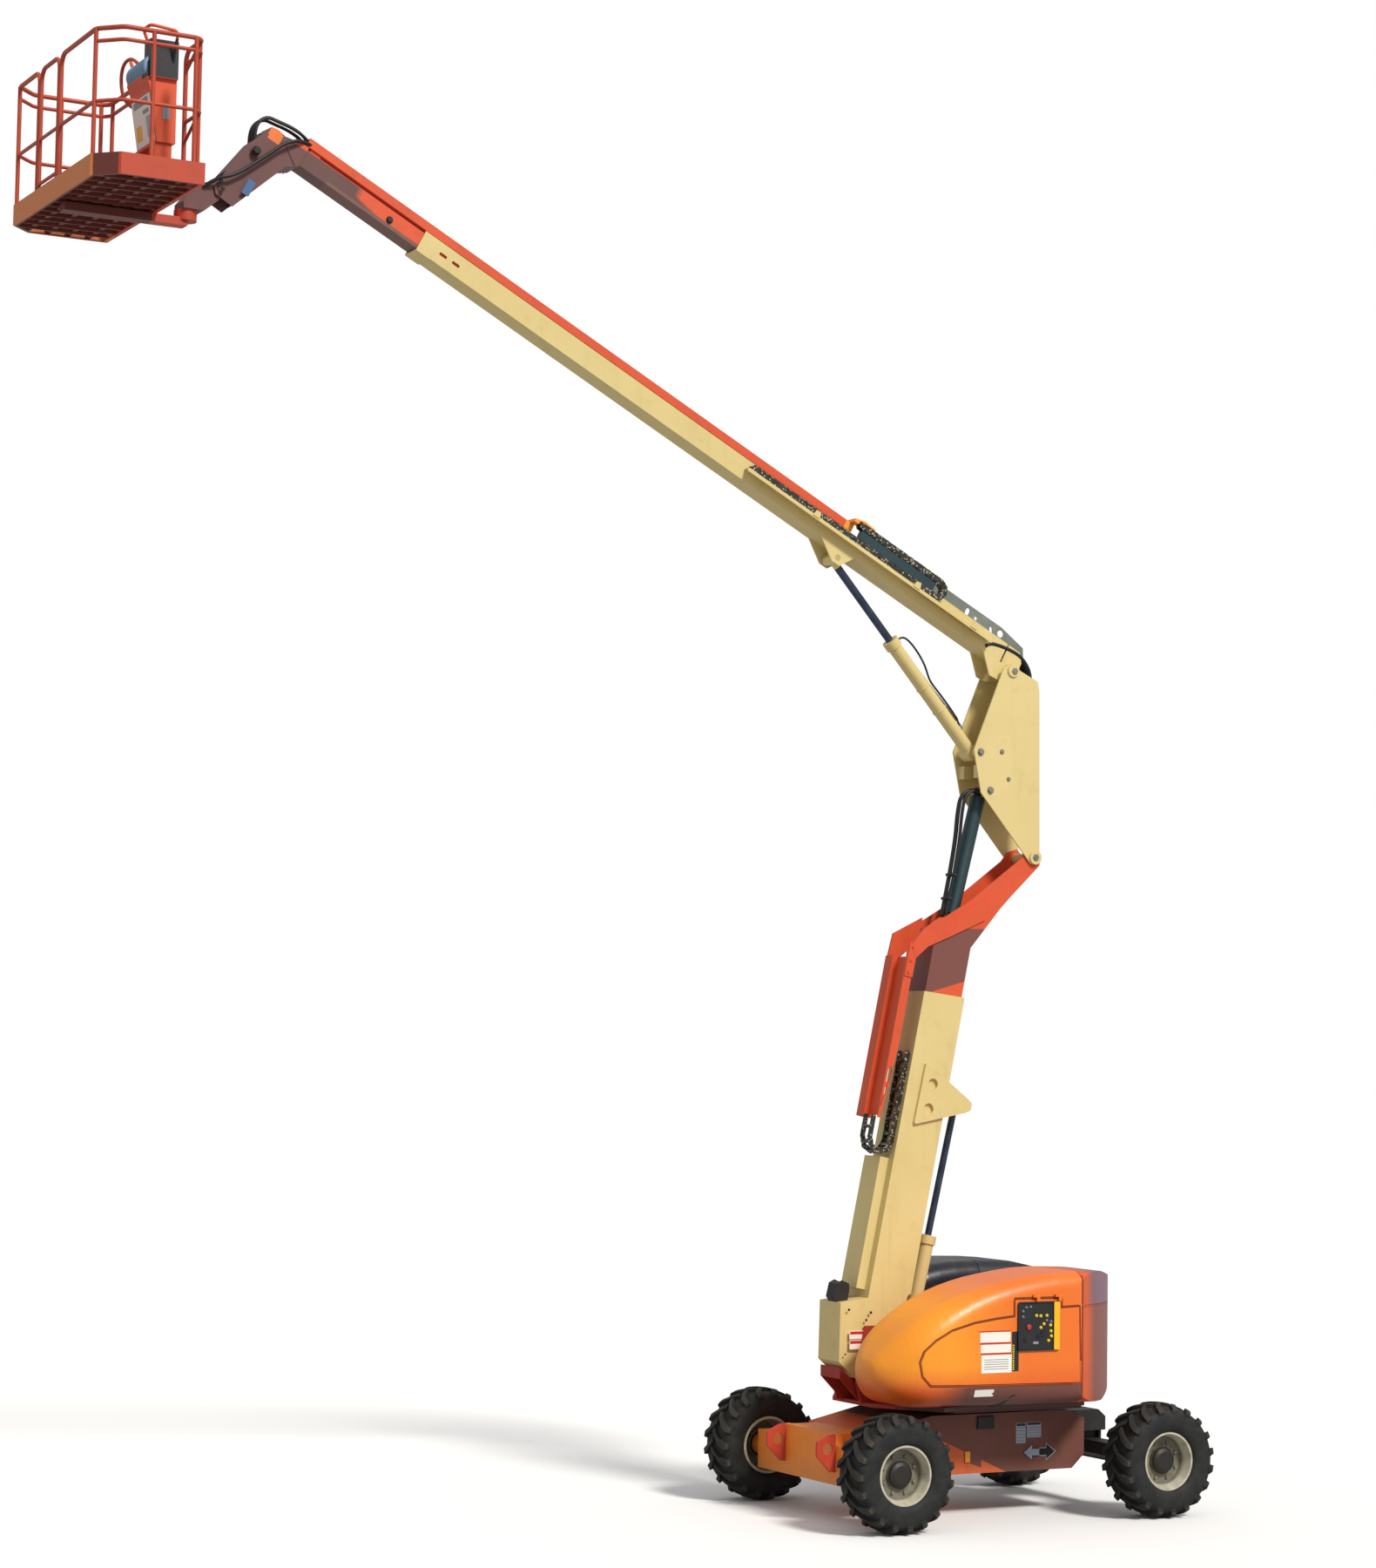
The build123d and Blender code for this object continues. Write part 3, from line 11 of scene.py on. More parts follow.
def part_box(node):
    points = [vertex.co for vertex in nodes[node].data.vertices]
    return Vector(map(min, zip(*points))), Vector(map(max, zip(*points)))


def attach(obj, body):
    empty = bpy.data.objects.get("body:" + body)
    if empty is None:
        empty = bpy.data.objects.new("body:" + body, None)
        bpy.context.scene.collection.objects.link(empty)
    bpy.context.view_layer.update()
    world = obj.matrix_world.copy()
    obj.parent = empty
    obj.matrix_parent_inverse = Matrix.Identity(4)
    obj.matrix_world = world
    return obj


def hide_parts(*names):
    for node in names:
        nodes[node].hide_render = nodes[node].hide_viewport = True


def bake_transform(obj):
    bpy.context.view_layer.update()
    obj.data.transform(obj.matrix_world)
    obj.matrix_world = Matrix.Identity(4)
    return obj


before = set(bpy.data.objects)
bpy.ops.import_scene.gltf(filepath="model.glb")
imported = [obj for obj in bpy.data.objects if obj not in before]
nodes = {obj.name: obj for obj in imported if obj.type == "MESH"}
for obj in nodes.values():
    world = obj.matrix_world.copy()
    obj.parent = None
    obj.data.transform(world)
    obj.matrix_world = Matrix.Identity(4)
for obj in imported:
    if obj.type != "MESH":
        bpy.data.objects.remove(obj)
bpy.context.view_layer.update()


# ---------------------------------------------------------------- places on the machine
TOWER_PIVOT = Vector((-0.920, 0.0, 1.400))
TOWER_ANGLE = math.radians(78.5)
BOOM_ANGLE = math.radians(27.7)
UPRIGHT_PIN_ALONG = 4.133
UPRIGHT_PIN_ACROSS = 0.721
AXLE_X = 1.24
AXLE_HEIGHT = 0.455
UPRIGHT_PIVOT = TOWER_PIVOT + Vector((
    UPRIGHT_PIN_ALONG * math.cos(TOWER_ANGLE) + UPRIGHT_PIN_ACROSS * math.sin(TOWER_ANGLE), 0.0,
    UPRIGHT_PIN_ALONG * math.sin(TOWER_ANGLE) - UPRIGHT_PIN_ACROSS * math.cos(TOWER_ANGLE),
))
MAIN_PIVOT = UPRIGHT_PIVOT + Vector((-0.234, 0.0, 1.543))


def tower_point(along, across, y):
    """Point on the tower boom: along it from its foot, across it towards the steer axle."""
    return TOWER_PIVOT + Vector((
        along * math.cos(TOWER_ANGLE) + across * math.sin(TOWER_ANGLE), y,
        along * math.sin(TOWER_ANGLE) - across * math.cos(TOWER_ANGLE),
    ))


def upright_point(x, z, y):
    """Point on the upright, from its pin on the tower boom."""
    return UPRIGHT_PIVOT + Vector((x, y, z))


def boom_point(out, up, y):
    """Point on the main boom: out along it from the main pivot, and up across it."""
    return MAIN_PIVOT + Vector((
        up * math.sin(BOOM_ANGLE) - out * math.cos(BOOM_ANGLE), y,
        out * math.sin(BOOM_ANGLE) + up * math.cos(BOOM_ANGLE),
    ))


# ---------------------------------------------------------------- materials
def srgb(r, g, b):
    """Linear colour from 0-255 display values."""
    def lin(c):
        c /= 255.0
        return c / 12.92 if c <= 0.04045 else ((c + 0.055) / 1.055) ** 2.4
    return (lin(r), lin(g), lin(b), 1.0)


def add(tree, kind, **values):
    node = tree.nodes.new(kind)
    for key, value in values.items():
        if key in node.inputs:
            node.inputs[key].default_value = value
        else:
            setattr(node, key, value)
    return node


def noise(tree, coords, scale, detail=4.0, rough=0.55):
    node = add(tree, "ShaderNodeTexNoise", Scale=scale, Detail=detail, Roughness=rough)
    tree.links.new(coords, node.inputs["Vector"])
    return node.outputs["Fac"]


def ramp(tree, value, low, high):
    node = add(tree, "ShaderNodeMapRange")
    node.inputs["From Min"].default_value = low
    node.inputs["From Max"].default_value = high
    tree.links.new(value, node.inputs["Value"])
    return node.outputs["Result"]


def mix(tree, factor, a, b):
    node = tree.nodes.new("ShaderNodeMix")
    node.data_type = "RGBA"
    if isinstance(factor, float):
        node.inputs["Factor"].default_value = factor
    else:
        tree.links.new(factor, node.inputs["Factor"])
    for socket, value in ((node.inputs[6], a), (node.inputs[7], b)):
        if isinstance(value, tuple):
            socket.default_value = value
        else:
            tree.links.new(value, socket)
    return node.outputs[2]


def times(tree, a, b):
    node = add(tree, "ShaderNodeMath", operation="MULTIPLY")
    for index, value in enumerate((a, b)):
        if isinstance(value, float):
            node.inputs[index].default_value = value
        else:
            tree.links.new(value, node.inputs[index])
    return node.outputs[0]


def start(name):
    material = bpy.data.materials.new(name)
    material.use_nodes = True
    tree = material.node_tree
    shader = tree.nodes["Principled BSDF"]
    coords = tree.nodes.new("ShaderNodeTexCoord").outputs["Object"]
    return material, tree, shader, coords


def bump(tree, shader, height, strength, distance):
    node = add(tree, "ShaderNodeBump", Strength=strength, Distance=distance)
    tree.links.new(height, node.inputs["Height"])
    tree.links.new(node.outputs["Normal"], shader.inputs["Normal"])


def inside(tree, coords, limits):
    """1 beyond every limit, each a direction, the distance along it and the edge's softness."""
    mask = None
    for direction, distance, soft in limits:
        along = add(tree, "ShaderNodeVectorMath", operation="DOT_PRODUCT")
        along.inputs[1].default_value = direction
        tree.links.new(coords, along.inputs[0])
        step = ramp(tree, along.outputs["Value"], distance - soft, distance + soft)
        mask = step if mask is None else times(tree, mask, step)
    return mask


def paint(name, colour, faded, dirt_and_sunlit_spot, gloss=0.35, dirt_and_sunlit_amount=0.35, metallic=0.0, dust_height=None, zones=()):
    """Sprayed paint: slow fading, patches and fine streaks of dirt, orange-peel bump. On the hose plate the
    patch colour is light cream: painted sunlit spots, not dirt.

    Each zone is a colour and the limits that it lies beyond. On many materials below, the zones are painted
    light and shade: lit areas, cast shadows and shaded sides.
    """
    material, tree, shader, coords = start(name)
    base = mix(tree, ramp(tree, noise(tree, coords, 1.1), 0.35, 0.75), colour, faded)
    for zone_colour, limits in zones:
        base = mix(tree, inside(tree, coords, limits), base, zone_colour)
    patches = ramp(tree, noise(tree, coords, 5.5, 8.0, 0.65), 0.55, 0.80)
    base = mix(tree, times(tree, patches, dirt_and_sunlit_amount), base, dirt_and_sunlit_spot)
    stretch = add(tree, "ShaderNodeMapping")
    stretch.inputs["Scale"].default_value = (16.0, 16.0, 1.5)
    tree.links.new(coords, stretch.inputs["Vector"])
    streaks = ramp(tree, noise(tree, stretch.outputs["Vector"], 1.0, 3.0), 0.56, 0.78)
    base = mix(tree, times(tree, streaks, dirt_and_sunlit_amount * 0.5), base, dirt_and_sunlit_spot)
    if dust_height is not None:
        split = add(tree, "ShaderNodeSeparateXYZ")
        tree.links.new(coords, split.inputs[0])
        low = ramp(tree, split.outputs["Z"], dust_height, 0.2)
        base = mix(tree, times(tree, low, 0.3), base, srgb(150, 125, 95))
    tree.links.new(base, shader.inputs["Base Color"])
    fine = noise(tree, coords, 30.0, 5.0)
    rough = add(tree, "ShaderNodeMapRange")
    rough.inputs["To Min"].default_value = gloss
    rough.inputs["To Max"].default_value = gloss + 0.25
    tree.links.new(fine, rough.inputs["Value"])
    tree.links.new(rough.outputs["Result"], shader.inputs["Roughness"])
    shader.inputs["Metallic"].default_value = metallic
    bump(tree, shader, noise(tree, coords, 140.0, 2.0), 0.06, 0.002)
    return material


def beyond(direction, point, soft=0.002):
    """Limit for a zone: the side of the plane through the point that the direction looks to."""
    direction = Vector(direction).normalized()
    return tuple(direction), direction.dot(point), soft


BOOM_OUT = boom_point(1, 0, 0) - boom_point(0, 0, 0)
BOOM_UP = boom_point(0, 1, 0) - boom_point(0, 0, 0)
FLY_PAINTED_SHADE_BROWN = srgb(104, 68, 64)
ORANGE = srgb(222, 86, 44)
CREAM = (srgb(222, 201, 138), srgb(213, 190, 124), srgb(146, 122, 74))

cream = paint("cream_paint", *CREAM, 0.42, 0.22)
orange = paint("orange_paint", ORANGE, srgb(206, 74, 40), srgb(110, 44, 30), 0.36, 0.3)
rail_orange = paint("rail_paint", srgb(190, 72, 40), srgb(168, 58, 38), srgb(90, 40, 34), 0.36, 0.45)
boom_rail = paint(
    "boom_rail_paint", ORANGE, srgb(212, 78, 42), srgb(120, 46, 30), 0.36, 0.25,
    zones=((srgb(246, 158, 50), (beyond(-BOOM_OUT, boom_point(1.93, 0, 0)),)),),
)
# Painted shade: the main fly is orange, and its brown base stands for its side in shade; the orange zones are
# where the sun falls on it, and the lighter brown band low on it is painted shade on its underside.
fly_paint = paint(
    "fly_paint", FLY_PAINTED_SHADE_BROWN, srgb(92, 60, 56), srgb(70, 50, 44), 0.4, 0.3,
    zones=(
        (ORANGE, (
            beyond(-BOOM_OUT, boom_point(6.74, 0, 0), 0.03), beyond(BOOM_UP, boom_point(0, 0.062, 0), 0.012),
            beyond(BOOM_UP - 0.18 * BOOM_OUT, boom_point(6.60, 0.070, 0), 0.012),
        )),
        (ORANGE, (beyond(BOOM_UP, boom_point(0, 0.172, 0)),)),
        (srgb(120, 84, 74), (beyond(-BOOM_UP, boom_point(0, 0.064, 0)),
                             beyond(-BOOM_OUT, boom_point(7.0, 0, 0)))),
    ),
)
# Painted shade: the nose and the platform support are orange, and their brown-purple base stands for shade on
# them; the orange zones and the brighter orange band are where the sun falls.
nose_paint = paint(
    "nose_paint", srgb(108, 68, 66), srgb(98, 62, 60), srgb(70, 50, 46), 0.4, 0.25,
    zones=(
        (ORANGE, (beyond(BOOM_UP, boom_point(0, 0.150, 0)), beyond(-BOOM_OUT, boom_point(7.36, 0, 0)))),
        (srgb(236, 120, 52), (
            beyond(BOOM_UP, boom_point(0, 0.060, 0)), beyond(BOOM_OUT, boom_point(7.46, 0, 0)),
            beyond(-BOOM_OUT, boom_point(7.56, 0, 0)),
        )),
    ),
)
# Painted shadow: the brown band below z 4.70 is the shadow of the hose carrier on the tower fly; below its
# sloping lower edge the fly shows its own orange again.
tower_fly_paint = paint(
    "tower_fly_paint", ORANGE, srgb(208, 76, 40), srgb(120, 46, 30), 0.36, 0.25,
    zones=(
        (srgb(122, 72, 64), (beyond((0, 0, -1), (0, 0, 4.70)),)),
        (ORANGE, (beyond((0.28, 0, -1), (-0.30, 0, 4.20)),)),
    ),
)
# Near pod: the yellow-orange base, left at the front lobe, is a painted highlight; the redder orange further
# back is its own colour, the darker orange low down is painted shade, and the brown below z 1.100 is painted
# shade on the underside of the skirt.
POD_SKIRT_PAINTED_SHADE = srgb(108, 64, 54)
pod_paint = paint(
    "pod_paint", srgb(250, 158, 38), srgb(246, 146, 36), srgb(190, 90, 25), 0.24, 0.12,
    zones=(
        (srgb(236, 116, 38), (beyond((1, 0, 0.25), (-0.45, 0, 1.45), 0.30),)),
        (srgb(224, 96, 34), (beyond((0, 0, -1), (0, 0, 1.16), 0.10),)),
        (POD_SKIRT_PAINTED_SHADE, (beyond((0, 0, -1), (0, 0, 1.100), 0.006), beyond((1, 0, 0), (-0.78, 0, 0), 0.14))),
    ),
)
# Far pod and far counterweight above z 1.704: a black cover whose blue tint is a painted sheen; the black
# band also stands for painted shade on the far hood's inner wall.
BLACK_TOP_PAINTED_SHEEN_SHADE = srgb(26, 30, 40)
far_pod_paint = paint(
    "far_pod_paint", srgb(240, 128, 38), srgb(234, 116, 34), srgb(180, 86, 30), 0.24, 0.12,
    zones=((BLACK_TOP_PAINTED_SHEEN_SHADE, (beyond((0, 0, 1), (0, 0, 1.704)),)),),
)
# Painted shade: the purple-brown on the tail's rear side, and the purplish colour on its top there, stand for
# shade on the orange counterweight.
TAIL_PAINTED_SHADE_SIDE = (beyond((1, -0.25, 0), (0.585, -1.0, 0), 0.05),)
tail_paint = paint(
    "tail_paint", srgb(214, 96, 44), srgb(200, 86, 46), srgb(120, 66, 60), 0.3, 0.25,
    zones=(
        (srgb(134, 80, 72), TAIL_PAINTED_SHADE_SIDE),
        (srgb(128, 98, 112), (beyond((0, 0, 1), (0, 0, 1.705)), *TAIL_PAINTED_SHADE_SIDE)),
    ),
)
# Painted shade: the far counterweight is orange, and its brown-purple colour all over stands for shade on it.
far_tail_paint = paint(
    "far_tail_paint", srgb(150, 92, 80), srgb(138, 84, 74), srgb(100, 60, 56), 0.3, 0.25,
    zones=((BLACK_TOP_PAINTED_SHEEN_SHADE, (beyond((0, 0, 1), (0, 0, 1.704)),)),),
)
axle_orange = paint(
    "axle_paint", srgb(252, 150, 54), srgb(244, 134, 48), srgb(160, 74, 34), 0.42, 0.25, dust_height=0.5,
    zones=((srgb(196, 66, 44), (beyond((-1, 0, 0), (-1.384, 0, 0)),)),),
)
# Painted shadow: the chassis is orange, and the brown is the shadow of the pods on its side; the orange zone
# below the sloping line is where the sun falls, and the upright strip turned brown again is painted shadow
# too.
CHASSIS_PAINTED_SHADOW_BROWN = srgb(128, 76, 64)
CHASSIS_ORANGE = srgb(232, 108, 56)
chassis_paint = paint(
    "chassis_paint", CHASSIS_PAINTED_SHADOW_BROWN, srgb(114, 68, 58), srgb(70, 46, 40), 0.5, 0.35, dust_height=0.4,
    zones=(
        (CHASSIS_ORANGE, (beyond((-0.4435, 0, -1), (-0.394, 0, 0.581)),)),
        (CHASSIS_PAINTED_SHADOW_BROWN, (
            beyond((1, 0, 0), (-0.190, 0, 0)), beyond((-1, 0, 0), (-0.086, 0, 0)),
            beyond((0.365, 0, 1), (-0.19, 0, 0.42)),
        )),
    ),
)
# Painted shade: the dark brown on the deck from x -0.86 rearward stands for the shade under the pods.
deep_red = paint(
    "deck_paint", srgb(168, 46, 34), srgb(148, 40, 32), srgb(60, 28, 24), 0.45, 0.35,
    zones=((srgb(78, 46, 42), (beyond((1, 0, 0), (-0.86, 0, 0), 0.05),)),),
)
axle_black = paint("axle_black", srgb(30, 30, 32), srgb(40, 38, 38), srgb(84, 72, 60), 0.45, 0.4)
black = paint("black_plastic", srgb(22, 24, 27), srgb(30, 32, 35), srgb(62, 58, 54), 0.4, 0.25)
# Painted shade: the hose plate is cream paint lying in the shadow of its top flange, so its grey-green stands
# for that shade, and its light cream patches are painted sunlit spots.
painted_shade_grey = paint("slate_paint", srgb(116, 124, 118), srgb(104, 112, 106), srgb(170, 164, 130), 0.4, 0.3)
teal = paint("teal_paint", srgb(34, 62, 68), srgb(28, 52, 58), srgb(60, 60, 58), 0.3, 0.25)
steel = paint("bare_steel", srgb(150, 148, 142), srgb(128, 124, 118), srgb(90, 76, 60), 0.35, 0.4,
              metallic=0.7)
iron = paint("cast_iron", srgb(60, 58, 56), srgb(48, 46, 44), srgb(90, 76, 60), 0.6, 0.4)
hose = paint("hose_rubber", srgb(14, 18, 20), srgb(22, 26, 28), srgb(50, 50, 48), 0.38, 0.2)
console_paint = paint(
    "console_paint", ORANGE, srgb(208, 76, 40), srgb(120, 46, 30), 0.36, 0.25,
    zones=((srgb(30, 38, 44), (beyond((0, 0, 1), (0, 0, 9.9933 + 0.652)), beyond((0, -1, 0), (0, -0.335, 0)),
                              beyond((0, 0, -1), (0, 0, 9.9933 + 0.928)))),),
)
# Platform floor: the lighter yellow-orange zone on the -X toe board is painted light on that side, and the
# dark zone inside the toe boards is painted shade under the basket.
floor_paint = paint(
    "floor_paint", srgb(188, 68, 40), srgb(176, 60, 38), srgb(104, 44, 32), 0.4, 0.3,
    zones=(
        (srgb(212, 122, 58), (beyond((-1, 0.35, 0), (-7.800, -1.060, 0)),)),
        (srgb(104, 44, 36), (
            beyond((-1, 0, 0), (-7.150, 0, 0)), beyond((1, 0, 0), (-7.890, 0, 0)),
            beyond((0, 1, 0), (0, -1.045, 0)),
            beyond((0, -1, 0), (0, 1.045, 0)),
        )),
    ),
)


def make_rim_paint():
    """Rim paint that turns to the hub's dark brown near the wheel's axis, with a darker disc between that is
    painted shade in the rim's recess.
    """
    material, tree, shader, coords = start("rim_paint")
    split = add(tree, "ShaderNodeSeparateXYZ")
    tree.links.new(coords, split.inputs[0])
    away = add(tree, "ShaderNodeMath", operation="ABSOLUTE")
    tree.links.new(split.outputs["X"], away.inputs[0])
    squares = []
    for value, middle in ((away.outputs[0], AXLE_X), (split.outputs["Z"], AXLE_HEIGHT)):
        shift = add(tree, "ShaderNodeMath", operation="SUBTRACT")
        tree.links.new(value, shift.inputs[0])
        shift.inputs[1].default_value = middle
        squares.append(times(tree, shift.outputs[0], shift.outputs[0]))
    total = add(tree, "ShaderNodeMath", operation="ADD")
    tree.links.new(squares[0], total.inputs[0])
    tree.links.new(squares[1], total.inputs[1])
    radius = add(tree, "ShaderNodeMath", operation="SQRT")
    tree.links.new(total.outputs[0], radius.inputs[0])
    lip = mix(tree, ramp(tree, noise(tree, coords, 14.0, 6.0), 0.4, 0.75), srgb(196, 192, 172),
              srgb(160, 150, 126))
    disc = mix(tree, ramp(tree, noise(tree, coords, 10.0, 6.0), 0.35, 0.7), srgb(132, 128, 110),
               srgb(94, 88, 74))
    base = mix(tree, ramp(tree, radius.outputs[0], 0.188, 0.196), disc, lip)
    base = mix(tree, ramp(tree, radius.outputs[0], 0.112, 0.106), base, srgb(36, 30, 26))
    tree.links.new(base, shader.inputs["Base Color"])
    shader.inputs["Roughness"].default_value = 0.5
    bump(tree, shader, noise(tree, coords, 60.0, 4.0), 0.1, 0.002)
    return material


rim_cream = make_rim_paint()


def make_track_finish():
    """Blackened links speckled with bright worn rivet heads."""
    material, tree, shader, coords = start("track_links")
    cells = add(tree, "ShaderNodeTexVoronoi")
    cells.inputs["Scale"].default_value = 42.0
    tree.links.new(coords, cells.inputs["Vector"])
    heads = ramp(tree, cells.outputs["Distance"], 0.36, 0.24)
    dark = mix(tree, ramp(tree, noise(tree, coords, 20.0, 5.0), 0.4, 0.7), srgb(26, 32, 34), srgb(66, 60, 50))
    base = mix(tree, times(tree, heads, 0.85), dark, srgb(196, 180, 140))
    tree.links.new(base, shader.inputs["Base Color"])
    shader.inputs["Roughness"].default_value = 0.45
    bump(tree, shader, heads, 0.4, 0.003)
    return material


track_black = make_track_finish()


LIFT_AXIS = boom_point(1.855, -0.052, 0) - upright_point(-0.543, 0.850, 0)
TOWER_ROD_AXIS = Vector((0.226, 0, 0.974))
ROD_EYES = (
    (beyond(LIFT_AXIS, boom_point(1.855, -0.052, 0) - LIFT_AXIS.normalized() * 0.085),),
    (beyond(TOWER_ROD_AXIS, Vector((-0.0497, 0, 3.2598)) - TOWER_ROD_AXIS * 0.085),
     beyond((0, 0, -1), (0, 0, 4.0))),
)


def make_chrome():
    material, tree, shader, coords = start("rod_chrome")
    # Painted reflection: the dark blue-grey of the chrome rods stands for the sky seen in them; the cream at
    # the eyes is their paint.
    base = mix(tree, ramp(tree, noise(tree, coords, 8.0, 4.0), 0.3, 0.7), srgb(40, 50, 72), srgb(72, 84, 108))
    for limits in ROD_EYES:
        base = mix(tree, inside(tree, coords, limits), base, CREAM[0])
    tree.links.new(base, shader.inputs["Base Color"])
    shader.inputs["Metallic"].default_value = 0.55
    rough = add(tree, "ShaderNodeMapRange")
    rough.inputs["To Min"].default_value = 0.12
    rough.inputs["To Max"].default_value = 0.3
    tree.links.new(noise(tree, coords, 60.0, 3.0), rough.inputs["Value"])
    tree.links.new(rough.outputs["Result"], shader.inputs["Roughness"])
    return material


chrome = make_chrome()


def make_rubber():
    material, tree, shader, coords = start("tyre_rubber")
    base = mix(tree, ramp(tree, noise(tree, coords, 9.0, 8.0, 0.7), 0.42, 0.72), srgb(14, 18, 19),
               srgb(42, 40, 36))
    tree.links.new(base, shader.inputs["Base Color"])
    shader.inputs["Roughness"].default_value = 0.75
    bump(tree, shader, noise(tree, coords, 90.0, 6.0), 0.25, 0.004)
    return material


rubber = make_rubber()
plate_white = paint("plate_white", srgb(244, 240, 232), srgb(236, 230, 218), srgb(180, 165, 140), 0.35, 0.15)
plate_red = paint("plate_red", srgb(204, 46, 34), srgb(190, 40, 30), srgb(120, 40, 30), 0.35, 0.15)
plate_black = paint("plate_black", srgb(26, 28, 30), srgb(34, 36, 38), srgb(80, 74, 64), 0.35, 0.2)
plate_grey = paint("plate_grey", srgb(150, 154, 164), srgb(134, 138, 150), srgb(90, 84, 78), 0.4, 0.25)
plate_silver = paint("plate_silver", srgb(176, 182, 200), srgb(160, 166, 184), srgb(104, 96, 92), 0.35, 0.3)
plate_blue = paint("plate_blue", srgb(72, 108, 156), srgb(64, 96, 140), srgb(60, 60, 70), 0.35, 0.2)
# The seam strips are painted shade: dark bands standing for the door gap and the tail grooves.
seam_red = paint("seam_red", srgb(122, 48, 26), srgb(104, 42, 26), srgb(60, 30, 22), 0.5, 0.3)
mark_yellow = paint("mark_yellow", srgb(248, 222, 40), srgb(240, 205, 30), srgb(160, 130, 40), 0.35, 0.1)
bright_yellow = paint("panel_yellow", srgb(250, 190, 24), srgb(246, 178, 20), srgb(190, 130, 30), 0.35, 0.1)
reflector = paint("reflector", srgb(255, 186, 30), srgb(250, 170, 24), srgb(190, 120, 30), 0.15, 0.1)
gauge_black = paint("gauge_black", srgb(30, 36, 48), srgb(22, 26, 34), srgb(60, 60, 64), 0.15, 0.15)
dark_steel = paint("dark_steel", srgb(46, 44, 46), srgb(60, 56, 54), srgb(84, 70, 58), 0.4, 0.4, metallic=0.5)
blue_rubber = paint("blue_rubber", srgb(122, 158, 188), srgb(104, 140, 172), srgb(60, 70, 84), 0.45, 0.3)
lug_rubber = paint("lug_rubber", srgb(60, 54, 45), srgb(42, 39, 34), srgb(108, 90, 70), 0.7, 0.5)

finishes = (
    ("tyre_", rubber),
    ("wheel_", rim_cream),
    ("cowl_right", pod_paint),
    ("hood_right", pod_paint),
    ("cowl_left", far_pod_paint),
    ("hood_left", far_pod_paint),
    ("counterweight_right", tail_paint),
    ("counterweight_left", far_tail_paint),
    ("knuckle_", axle_black),
)
single = {
    "tie_rod": steel, "slew_ring": iron, "steer_axle": axle_black, "axle_cradle": axle_black,
    "chassis_frame": chassis_paint, "rear_axle": axle_orange, "turntable_frame": deep_red,
    "control_panel": black, "engine": iron, "tank": black, "console": console_paint,
    "tower_track": track_black, "main_track": track_black, "hose_guide": black,
    "hose_plate": painted_shade_grey, "tower_foot_pin": steel, "upright_pin": cream,
    "main_boom_pin": cream, "tower_lift_rod": chrome, "level_rod": chrome, "main_lift_rod": chrome,
    "level_barrel": teal,
    "tower_fly": tower_fly_paint, "hose_carrier": orange, "main_fly": fly_paint, "boom_nose": nose_paint,
    "hose_rail": boom_rail, "platform_support": nose_paint, "platform_floor": floor_paint,
    "platform_rails": rail_orange, "gate": rail_orange,
}
for name, node in nodes.items():
    material = single.get(name, cream)
    for prefix, finish in finishes:
        if name.startswith(prefix):
            material = finish
    node.data.materials.clear()
    node.data.materials.append(material)


# ---------------------------------------------------------------- building pieces
def piece(name, mesh_maker, materials, body, smooth=True):
    """A mesh piece on a body; mesh_maker fills the bmesh that it is given."""
    mesh = bpy.data.meshes.new(name)
    form = bmesh.new()
    mesh_maker(form)
    form.normal_update()
    form.to_mesh(mesh)
    form.free()
    for material in materials:
        mesh.materials.append(material)
    if smooth:
        mesh.shade_smooth()
        mesh.set_sharp_from_angle(angle=math.radians(35))
    made = bpy.data.objects.new(name, mesh)
    bpy.context.collection.objects.link(made)
    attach(made, body)
    return made


def turn_to(axis):
    """Rotation that takes +Z to the axis."""
    return Vector(axis).normalized().to_track_quat("Z", "Y").to_matrix().to_4x4()


def ring_profile(form, origin, axis, profile, steps, index=0, hollow=False):
    """Revolves (height, radius) pairs about the axis, closed at both ends or, if hollow, as a ring."""
    turn = Matrix.Translation(origin) @ turn_to(axis)
    rings = []
    for height, radius in profile:
        rings.append([
            form.verts.new(turn @ Vector((
                radius * math.cos(math.tau * k / steps), radius * math.sin(math.tau * k / steps), height,
            )))
            for k in range(steps)
        ])
    for low, high in zip(rings, rings[1:] + rings[:1] if hollow else rings[1:]):
        for k in range(steps):
            face = form.faces.new((low[k], low[(k + 1) % steps], high[(k + 1) % steps], high[k]))
            face.material_index = index
    if hollow:
        return
    form.faces.new(reversed(rings[0])).material_index = index
    form.faces.new(rings[-1]).material_index = index


def hex_bolt(form, origin, axis, size, index=0):
    """Hexagon head with a chamfered crown on its washer."""
    height = size * 0.62
    washer = size * 0.16
    ring_profile(form, origin, axis, ((0, size * 1.18), (washer, size * 1.18)), 20, index)
    top = Vector(origin) + Vector(axis).normalized() * washer
    ring_profile(form, top, axis, ((0, size), (height * 0.8, size), (height, size * 0.82)), 6, index)


